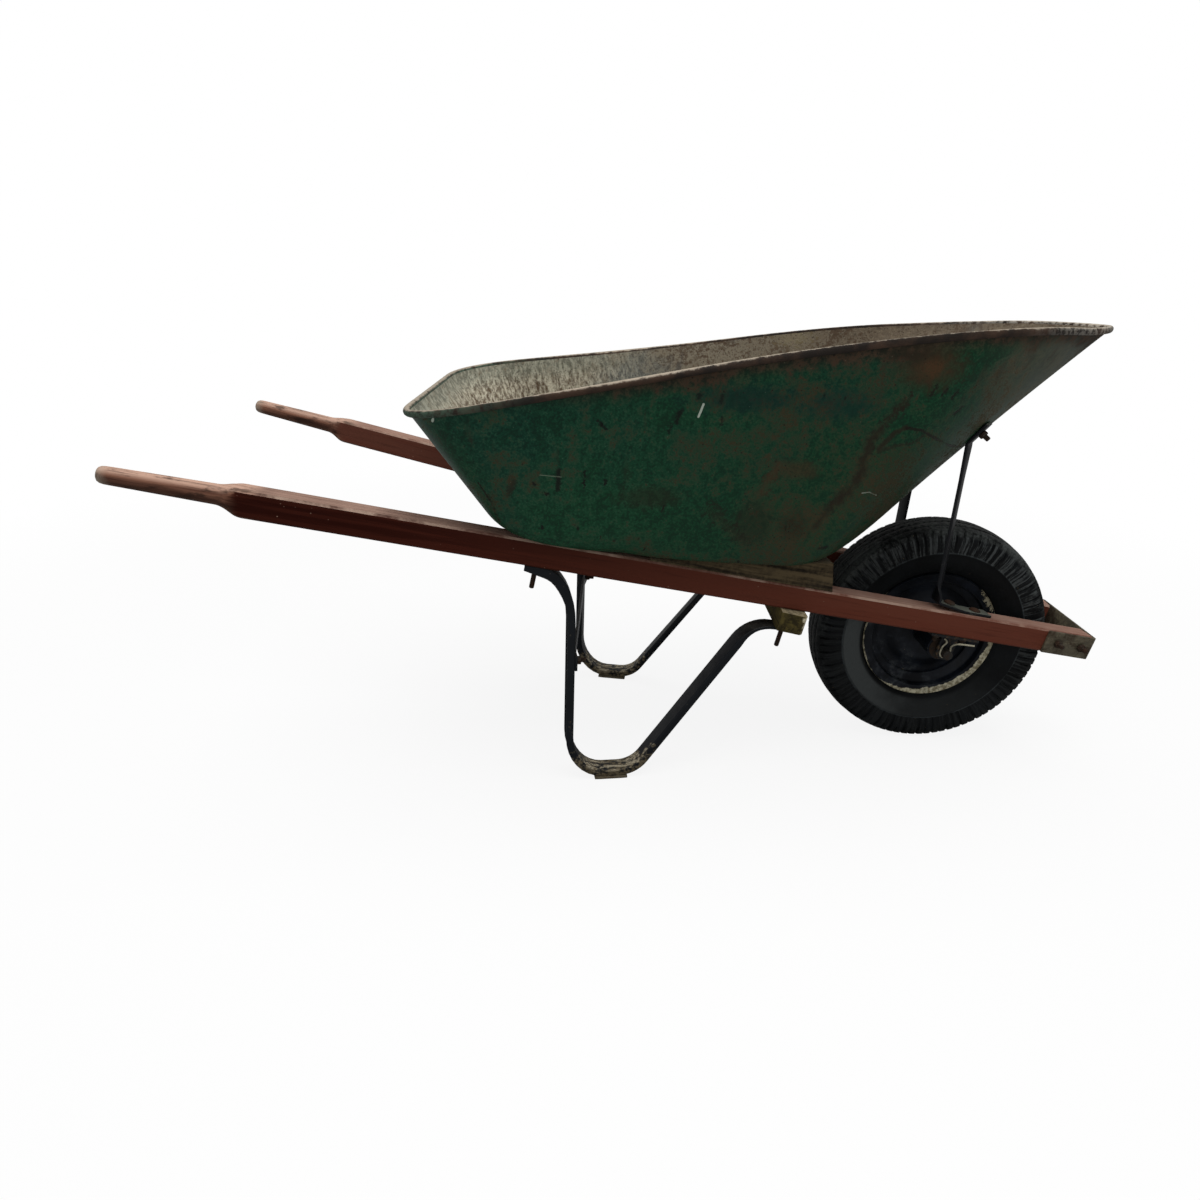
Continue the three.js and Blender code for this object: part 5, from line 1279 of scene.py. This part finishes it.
@dataclass
class Fasteners:
    """All the bolts and nuts, each cut new over its plain solid."""

    thread_pitch: float = 0.00125
    thread_depth: float = 0.87
    dome: tuple[Point2, ...] = ((0.12, 1.0), (0.40, 0.94), (0.66, 0.78), (0.86, 0.50), (0.97, 0.22), (1.0, 0.04))
    shank: float = 0.004
    head: float = 0.0095
    head_height: float = 0.004
    nut: float = 0.007
    nut_height: float = 0.0065

    def line(self, name: str) -> tuple[Vector, Vector, float, float]:
        """Where a bolt stands.

        Args:
            name: the bolt's name without its last word.

        Returns:
            The seat of its head, the direction from head to nut, its reach, and the nut's distance from the seat.
        """
        bolt, nut = node_points(f"{name}_bolt"), node_points(f"{name}_nut")
        along = nut.mean(0) - bolt.mean(0)
        along /= np.linalg.norm(along)
        spread = bolt @ along
        top = spread.min()
        middle = nut.mean(0)
        seat = middle + along * (top + self.head_height - middle @ along)
        reach = spread.max() - top - self.head_height
        return Vector(seat), Vector(along), reach, (nut @ along).min() - seat @ along

    def ring(self, radius: float, depth: float, sides: int, flat: float = 0.0) -> list[Vector]:
        """A ring of points at a depth below the seat."""
        return [Vector((radius * math.cos(2 * math.pi * k / sides + flat),
                        radius * math.sin(2 * math.pi * k / sides + flat), depth)) for k in range(sides)]

    def bolt(self, name: str, seat: Vector, turn: Matrix, reach: float) -> Piece:
        """A domed bolt with a threaded tail."""
        sides = 14
        plain, tail = reach * 0.5, 0.001
        turns = max(int(reach * 0.45 / self.thread_pitch), 3)
        run = (plain - tail) / turns
        stops = [(self.head * share, -self.head_height * height) for share, height in self.dome]
        stops += [(self.shank, 0.0), (self.shank, plain)]
        for k in range(turns):
            at = plain + run * (k + 0.25)
            stops += [(self.shank, at), (self.shank * self.thread_depth, at + run / 2)]
        stops += [(self.shank * 0.9, reach - 0.0006), (self.shank * 0.7, reach)]
        rings = [self.ring(radius, depth, sides) for radius, depth in stops]
        place = Matrix.Translation(seat) @ turn
        return Bench.drawn_out(name, [[place @ point for point in ring] for ring in rings])

    def hexagon(self, name: str, seat: Vector, turn: Matrix, depth: float, twist: float) -> Piece:
        """A nut with eased corners."""
        bore, full, high, ease = self.shank + 0.0002, self.nut, self.nut_height, 0.0009
        face = full * 0.86
        rings = [self.ring(radius, at, 6, twist) for radius, at in (
            (bore, 0.0), (face, 0.0), (full, ease), (full, high - ease), (face, high), (bore, high), (bore, 0.0))]
        place = Matrix.Translation(seat + turn.to_3x3() @ Vector((0, 0, depth))) @ turn
        piece = Bench.drawn_out(name, [[place @ point for point in ring] for ring in rings], looped=True)
        Bench.modify(piece, "BEVEL", width=0.0004, segments=2, limit_method="ANGLE", angle_limit=math.radians(30))
        return piece

    def build(self) -> list[Piece]:
        """Cuts every bolt and nut."""
        rusty = DullSteel("rusty_fastener", srgb(72, 62, 50), srgb(60, 38, 25), 0.7, 0.1).material()
        pieces = []
        names = [node[:-5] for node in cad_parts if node.endswith("_bolt")]
        for number, name in enumerate(sorted(names)):
            seat, along, reach, depth = self.line(name)
            turn = Vector((0, 0, 1)).rotation_difference(along).to_matrix().to_4x4()
            bolt = self.bolt(f"{name}_bolt_cut", seat, turn, reach)
            nut = self.hexagon(f"{name}_nut_cut", seat, turn, depth, number * 0.37)
            for piece, node, angle in ((bolt, f"{name}_bolt", 50), (nut, f"{name}_nut", 30)):
                pieces.append(Bench.fit(piece, "frame", "rusty_fastener", [node], angle, rusty))
        return pieces


@dataclass
class Ironwork:
    """Legs, wear plates, straps, brackets, axle and clips: skins taken from the solids, with eased edges."""

    ease: float = 0.0005

    def skin(self, node: str, slot: str, finish: Paint, ease: float | None = None,
             angle: float = 35.0) -> Piece:
        """One piece with its sharp edges eased and its bends shaded smooth."""
        piece = Bench.copy_of(node, f"{node}_skin")
        width = self.ease if ease is None else ease
        if width:
            Bench.modify(piece, "BEVEL", width=width, segments=2, limit_method="ANGLE",
                         angle_limit=math.radians(40), use_clamp_overlap=True)
        body = "wheel" if node.startswith("bearing") else "frame"
        return Bench.fit(piece, body, slot, [node], angle, finish)

    def build(self) -> list[Piece]:
        """Dresses every iron piece."""
        black = WornPaint("leg_paint", srgb(12, 16, 21), srgb(112, 100, 78), -0.1, 0.085, 0.10).material()
        bracket = WornPaint("bracket_paint", srgb(24, 24, 26), srgb(88, 72, 54), 0.4, dust=0.15).material()
        upright = WornPaint("brace_paint", srgb(13, 15, 19), srgb(96, 98, 90), 0.0, 0.0, 0.45,
                            srgb(136, 140, 128)).material()
        strap = DullSteel("nose_steel", srgb(116, 108, 88), srgb(56, 42, 30), 0.55, 0.1).material()
        plate = DullSteel("plate_steel", srgb(120, 110, 90), srgb(84, 66, 46), 0.5, 0.1).material()
        grimy = DullSteel("grimy_steel", srgb(44, 42, 38), srgb(52, 38, 27), 0.6, 0.0).material()
        wire = DullSteel("clip_steel", srgb(198, 192, 168), srgb(130, 114, 86), 0.2, 0.1).material()
        pieces = []
        for side in Side:
            label = side.label
            pieces += [
                self.skin(f"leg_{label}", "leg_paint", black),
                self.skin(f"leg_shoe_{label}", "bare_steel", plate),
                self.skin(f"axle_bracket_{label}", "leg_paint", bracket),
                self.skin(f"axle_clip_{label}", "spring_wire", wire, 0.0, 60.0),
                self.skin(f"bearing_{label}", "bare_steel", grimy, 0.0, 30.0),
            ]
        pieces += [
            Brace(Side.RIGHT, (-0.0306967, -0.104352, 0.55559), (-0.620395, -0.784290, 0.0),
                  (0.459389, -0.363390, 0.810499), (0.635666, -0.502830, -0.585740),
                  math.radians(33)).build(upright),
            Brace(Side.LEFT, (-0.0282292, 0.10434, 0.555587), (-0.601781, 0.798661, 0.0),
                  (0.470869, 0.354794, 0.807715), (0.645090, 0.486067, -0.589574),
                  math.radians(14)).build(upright),
            self.skin("leg_brace", "leg_paint", black),
            self.skin("nose_strap", "bare_steel", strap),
            self.skin("axle", "bare_steel", grimy, 0.0, 30.0),
        ]
        return pieces


@dataclass
class Timber:
    """The wooden wedges and the broken bar across."""

    ease: float = 0.0012

    def build(self) -> list[Piece]:
        """Dresses the wedges and the bar."""
        pieces = []
        for side in Side:
            wood = BareWood(f"riser_wood_{side.label}", srgb(92, 79, 57), srgb(30, 24, 16),
                            (0, -FALL, side * TOE_IN)).material()
            pieces.append(self.block(f"riser_{side.label}", "riser_wood", wood))
        bar = BareWood("bar_wood", srgb(84, 74, 38), srgb(44, 38, 20), (0, 0, math.pi / 2), True).material()
        pieces.append(self.block("cross_bar", "bar_wood", bar))
        return pieces

    def block(self, node: str, slot: str, wood: Paint) -> Piece:
        """One sawn piece with its arrises rubbed round."""
        piece = Bench.copy_of(node, f"{node}_block")
        Bench.modify(piece, "BEVEL", width=self.ease, segments=2, limit_method="ANGLE",
                     angle_limit=math.radians(40), use_clamp_overlap=True)
        return Bench.fit(piece, "frame", slot, [node], 35, wood)


@dataclass
class Wheel:
    """The tyre on its pressed rim."""

    diameter: float = 0.403
    width: float = 0.096
    seat_diameter: float = 0.203
    flange: float = 0.015
    rim_width: float = 0.063
    well: float = 0.014
    sheet: float = 0.0024
    dish: float = 0.015
    hub: float = 0.044
    hub_wall: float = 0.007
    hub_length: float = 0.168
    gap: float = 0.0003
    lugs: int = 44

    def sheet_line(self, line: Sequence[Point2]) -> list[Point2]:
        """The closed outline of a sheet that follows a line."""
        points = [Vector(point) for point in line]
        sides: tuple[list, list] = ([], [])
        for index, point in enumerate(points):
            before, after = points[max(index - 1, 0)], points[min(index + 1, len(points) - 1)]
            along = (after - before).normalized()
            normal = Vector((-along.y, along.x)) * self.sheet / 2
            sides[0].append(tuple(point + normal))
            sides[1].append(tuple(point - normal))
        return sides[0] + sides[1][::-1]

    def rim(self) -> list[Piece]:
        """The barrel and the two dished discs."""
        seat = self.seat_diameter / 2 - self.sheet / 2
        half = self.rim_width / 2
        well = seat - self.well
        lip = seat + self.flange
        half_line = [(lip - 0.0012, half + 0.0006), (lip - 0.0002, half - 0.0004), (lip - 0.0022, half - 0.0012),
                     (seat + 0.004, half - 0.0014), (seat + 0.001, half - 0.0026), (seat, half - 0.005),
                     (seat, half * 0.54), (seat - 0.003, half * 0.44), (well + 0.003, half * 0.34),
                     (well, half * 0.28)]
        line = half_line + [(r, -y) for r, y in reversed(half_line)]
        parts = [("rim_barrel", self.sheet_line(line), 96, ["rim"])]
        hole = self.hub / 2 + self.gap
        for side in Side:
            disc = [(well + 0.0005, side * 0.003), (well * 0.90, side * 0.0032), (well * 0.82, side * 0.004),
                    (well * 0.76, side * 0.007), (well * 0.66, side * 0.0125), (well * 0.60, side * self.dish),
                    (well * 0.5, side * (self.dish + 0.0006)), (hole, side * self.dish)]
            parts.append((f"rim_disc_{side.label}", self.sheet_line(disc), 96, []))
        end, outer, bore = self.hub_length / 2, self.hub / 2, self.hub / 2 - self.hub_wall
        ease = 0.001
        parts.append(("hub_barrel", [(bore, -end), (outer - ease, -end), (outer, -end + ease), (outer, end - ease),
                                     (outer - ease, end), (bore, end)], 48, ["hub"]))
        paint = RimPaint().material()
        return [Bench.fit(Bench.spun(name, section, steps), "wheel", "rim_paint", nodes, 40, paint)
                for name, section, steps, nodes in parts]

    def tyre_outline(self, slot: float) -> list[Point2]:
        """The tyre's closed section, where a slot of the tread cuts it by 0 to 1."""
        crown, half = self.diameter / 2, self.width / 2
        outer = [
            (0.1018, 0.0198, 0), (0.1168, 0.0288, 0), (0.1200, 0.0338, 0), (0.1260, 0.0392, 0), (0.1360, 0.0436, 0),
            (0.1470, 0.0460, 0), (0.1545, 0.0466, 0), (0.1558, 0.0474, 0), (0.1572, 0.0474, 0),
            (0.1584, 0.0468, 0.25), (0.1640, 0.0474, 0.40), (0.1773, half, 0.50), (0.1834, 0.0470, 0.85),
            (0.1900, 0.0440, 1.0),
            (0.1949, 0.0405, 0.6), (0.1972, 0.0340, 0.25), (0.1985, 0.0262, 0.15), (0.1982, 0.0246, 0.1),
            (0.1955, 0.0236, 0), (0.1955, 0.0216, 0), (0.1996, 0.0206, 0), (0.2003, 0.0190, 0),
            (0.2008, 0.0105, 0), (0.2004, 0.0095, 0), (0.1957, 0.0086, 0), (0.1957, 0.0066, 0),
            (0.2010, 0.0056, 0), (crown, 0.0046, 0), (crown, 0.0, 0)]
        cut = [(r - slot * by * 0.0010, y - slot * by * 0.0040) for r, y, by in outer]
        inner = [(crown - 0.013, 0.0), (crown * 0.84, half - 0.007)]
        return cut + [(r, -y) for r, y in reversed(cut[:-1])] + [(inner[1][0], -inner[1][1]), *inner]

    def tyre(self) -> Piece:
        """The tyre: one pitch of its tread is drawn out, with a wide slot and a fine one, and turned round."""
        pitch = 2 * math.pi / self.lugs
        rings = []
        for share, slot in ((0.0, 0.0), (0.23, 0.0), (0.28, 0.6), (0.33, 0.6), (0.38, 0.0), (0.55, 0.0), (0.71, 0.0),
                            (0.77, 1.0), (0.84, 1.0), (0.90, 0.0), (1.0, 0.0)):
            angle = pitch * share
            rings.append(around_axle(angle, self.tyre_outline(slot)))
        piece = Bench.drawn_out("tyre_tread", rings, closed=False)
        Bench.take(piece)
        bpy.ops.object.mode_set(mode="EDIT")
        bpy.ops.mesh.select_all(action="SELECT")
        bpy.ops.mesh.spin(steps=self.lugs, dupli=True, angle=2 * math.pi, center=AXLE, axis=(0, 1, 0))
        bpy.ops.mesh.select_all(action="SELECT")
        bpy.ops.mesh.remove_doubles(threshold=1e-5)
        bpy.ops.mesh.normals_make_consistent(inside=False)
        bpy.ops.object.mode_set(mode="OBJECT")
        return Bench.fit(piece, "wheel", "tyre_rubber", ["tyre"], 30, Rubber().material())

    def build(self) -> list[Piece]:
        """Builds the rim and the tyre, and gives the hidden tube its rubber."""
        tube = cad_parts["inner_tube"]
        tube.data.materials.clear()
        tube.data.materials.append(WornPaint("tube_rubber", srgb(26, 26, 27), srgb(60, 58, 54), 0.1).material())
        return [*self.rim(), self.tyre()]


@dataclass
class Studio:
    """Pale floor, soft light and the camera.

    Attributes:
        camera_at, yaw, pitch, roll: the camera's place and angles, in radians.
        focal, image: the focal length and the picture's width, in pixels.
        sensor: the sensor's width in millimetres.
        sky: the sky's strength where the camera doesn't see it.
        lamps: each lamp's name, place, diameter and power.
        lit_at: the point that the lamps face.
        pale, unseen: the floor's brightness for the camera and for all other rays.
        glow: the share of plain white in the floor near the barrow.
        fade: the distances between which the floor turns plain white.
    """

    camera_at: Point = (-0.098761, -1.378675, 0.795557)
    yaw: float = 0.013086301
    pitch: float = 0.384007961
    roll: float = 0.031955927
    focal: float = 840.93007
    image: float = 1200.0
    sensor: float = 36.0
    sky: float = 0.38
    lamps: tuple[tuple[str, Point, float, float], ...] = (
        ("overhead", (0.2, -0.3, 3.2), 3.0, 78.0), ("front_fill", (-1.2, -3.4, 1.6), 2.4, 12.0))
    lit_at: Point = (0, 0, 0.35)
    pale: float = 0.93
    unseen: float = 0.42
    glow: float = 0.88
    fade: Point2 = (0.9, 2.4)

    def camera(self) -> None:
        """Sets the camera where the photograph was taken."""
        forward = Vector((math.sin(self.yaw) * math.cos(self.pitch), math.cos(self.yaw) * math.cos(self.pitch),
                          -math.sin(self.pitch)))
        right = forward.cross(Vector((0, 0, 1))).normalized()
        up = right.cross(forward)
        across = right * math.cos(self.roll) + up * math.sin(self.roll)
        upward = up * math.cos(self.roll) - right * math.sin(self.roll)
        data = bpy.data.cameras.new("photo_camera")
        data.sensor_fit = "HORIZONTAL"
        data.sensor_width = self.sensor
        data.lens = self.focal / self.image * self.sensor
        data.clip_start, data.clip_end = 0.05, 60.0
        view = bpy.data.objects.new("photo_camera", data)
        turn = Matrix((across, upward, -forward)).transposed()
        view.matrix_world = Matrix.Translation(self.camera_at) @ turn.to_4x4()
        bpy.context.scene.collection.objects.link(view)
        bpy.context.scene.camera = view

    def light(self) -> None:
        """Sets a wide soft lamp overhead, a weak one in front, and an even sky."""
        for name, place, size, power in self.lamps:
            data = bpy.data.lights.new(name, "AREA")
            data.shape = "DISK"
            data.size = size
            data.energy = power
            lamp = bpy.data.objects.new(name, data)
            lamp.location = place
            lamp.rotation_euler = (Vector(self.lit_at) - Vector(place)).to_track_quat("-Z", "Y").to_euler()
            bpy.context.scene.collection.objects.link(lamp)
        g = Graph("studio_sky", bpy.data.worlds)
        path = g.node("ShaderNodeLightPath")
        seen = Wire(g, path.outputs["Is Camera Ray"]).most(Wire(g, path.outputs["Is Transmission Ray"]))
        strength = g.out("ShaderNodeMapRange", None, {0: seen, 3: self.sky, 4: 1.0})
        white = g.out("ShaderNodeBackground", None, {"Color": (1.0, 1.0, 1.0, 1.0), "Strength": strength})
        g.node("ShaderNodeOutputWorld", None, {0: white})
        bpy.context.scene.world = g.material

    def floor(self) -> None:
        """Lays a white floor that keeps the shadow near the barrow and is plain white far away."""
        Bench.clear()
        bpy.ops.mesh.primitive_plane_add(size=60.0, location=(0, 0, -0.0005))
        floor = bpy.context.object
        floor.name = "studio_floor"
        Bench.settle(floor)
        g = Graph("floor_white")
        seen = Wire(g, g.node("ShaderNodeLightPath").outputs["Is Camera Ray"])
        away = g.vector("LENGTH", g.place, None, 1)
        shown, hidden = (g.out("ShaderNodeBsdfDiffuse", None, {0: (level, level, level, 1.0)})
                         for level in (self.pale, self.unseen))
        glow = g.out("ShaderNodeEmission", None, {0: (1.0, 1.0, 1.0, 1.0), 1: 1.0})
        lit = g.out("ShaderNodeMixShader", None, {
            0: self.glow + away.band(*self.fade) * (1 - self.glow), 1: shown, 2: glow})
        mixed = g.out("ShaderNodeMixShader", None, {0: seen, 1: hidden, 2: lit})
        g.node("ShaderNodeOutputMaterial", None, {0: mixed})
        floor.data.materials.append(g.material)

    def build(self) -> None:
        """Sets up floor, light and camera."""
        self.camera()
        self.light()
        self.floor()
        bpy.context.scene.view_settings.view_transform = "Standard"


def report(pieces: Iterable[Piece]) -> None:
    """Logs each piece with its number of faces."""
    for piece in pieces:
        log.info("%s: %d faces", piece.name, len(piece.data.polygons))


def main() -> None:
    """Builds the studio and the barrow."""
    logging.basicConfig(level=logging.INFO, format="%(name)s %(message)s")
    Studio().build()
    report([Tray().build()])
    for side in Side:
        report([Shaft(side).build()])
    report(Timber().build())
    report(Ironwork().build())
    report(Wheel().build())
    report(Fasteners().build())


if __name__ == "__main__":
    main()
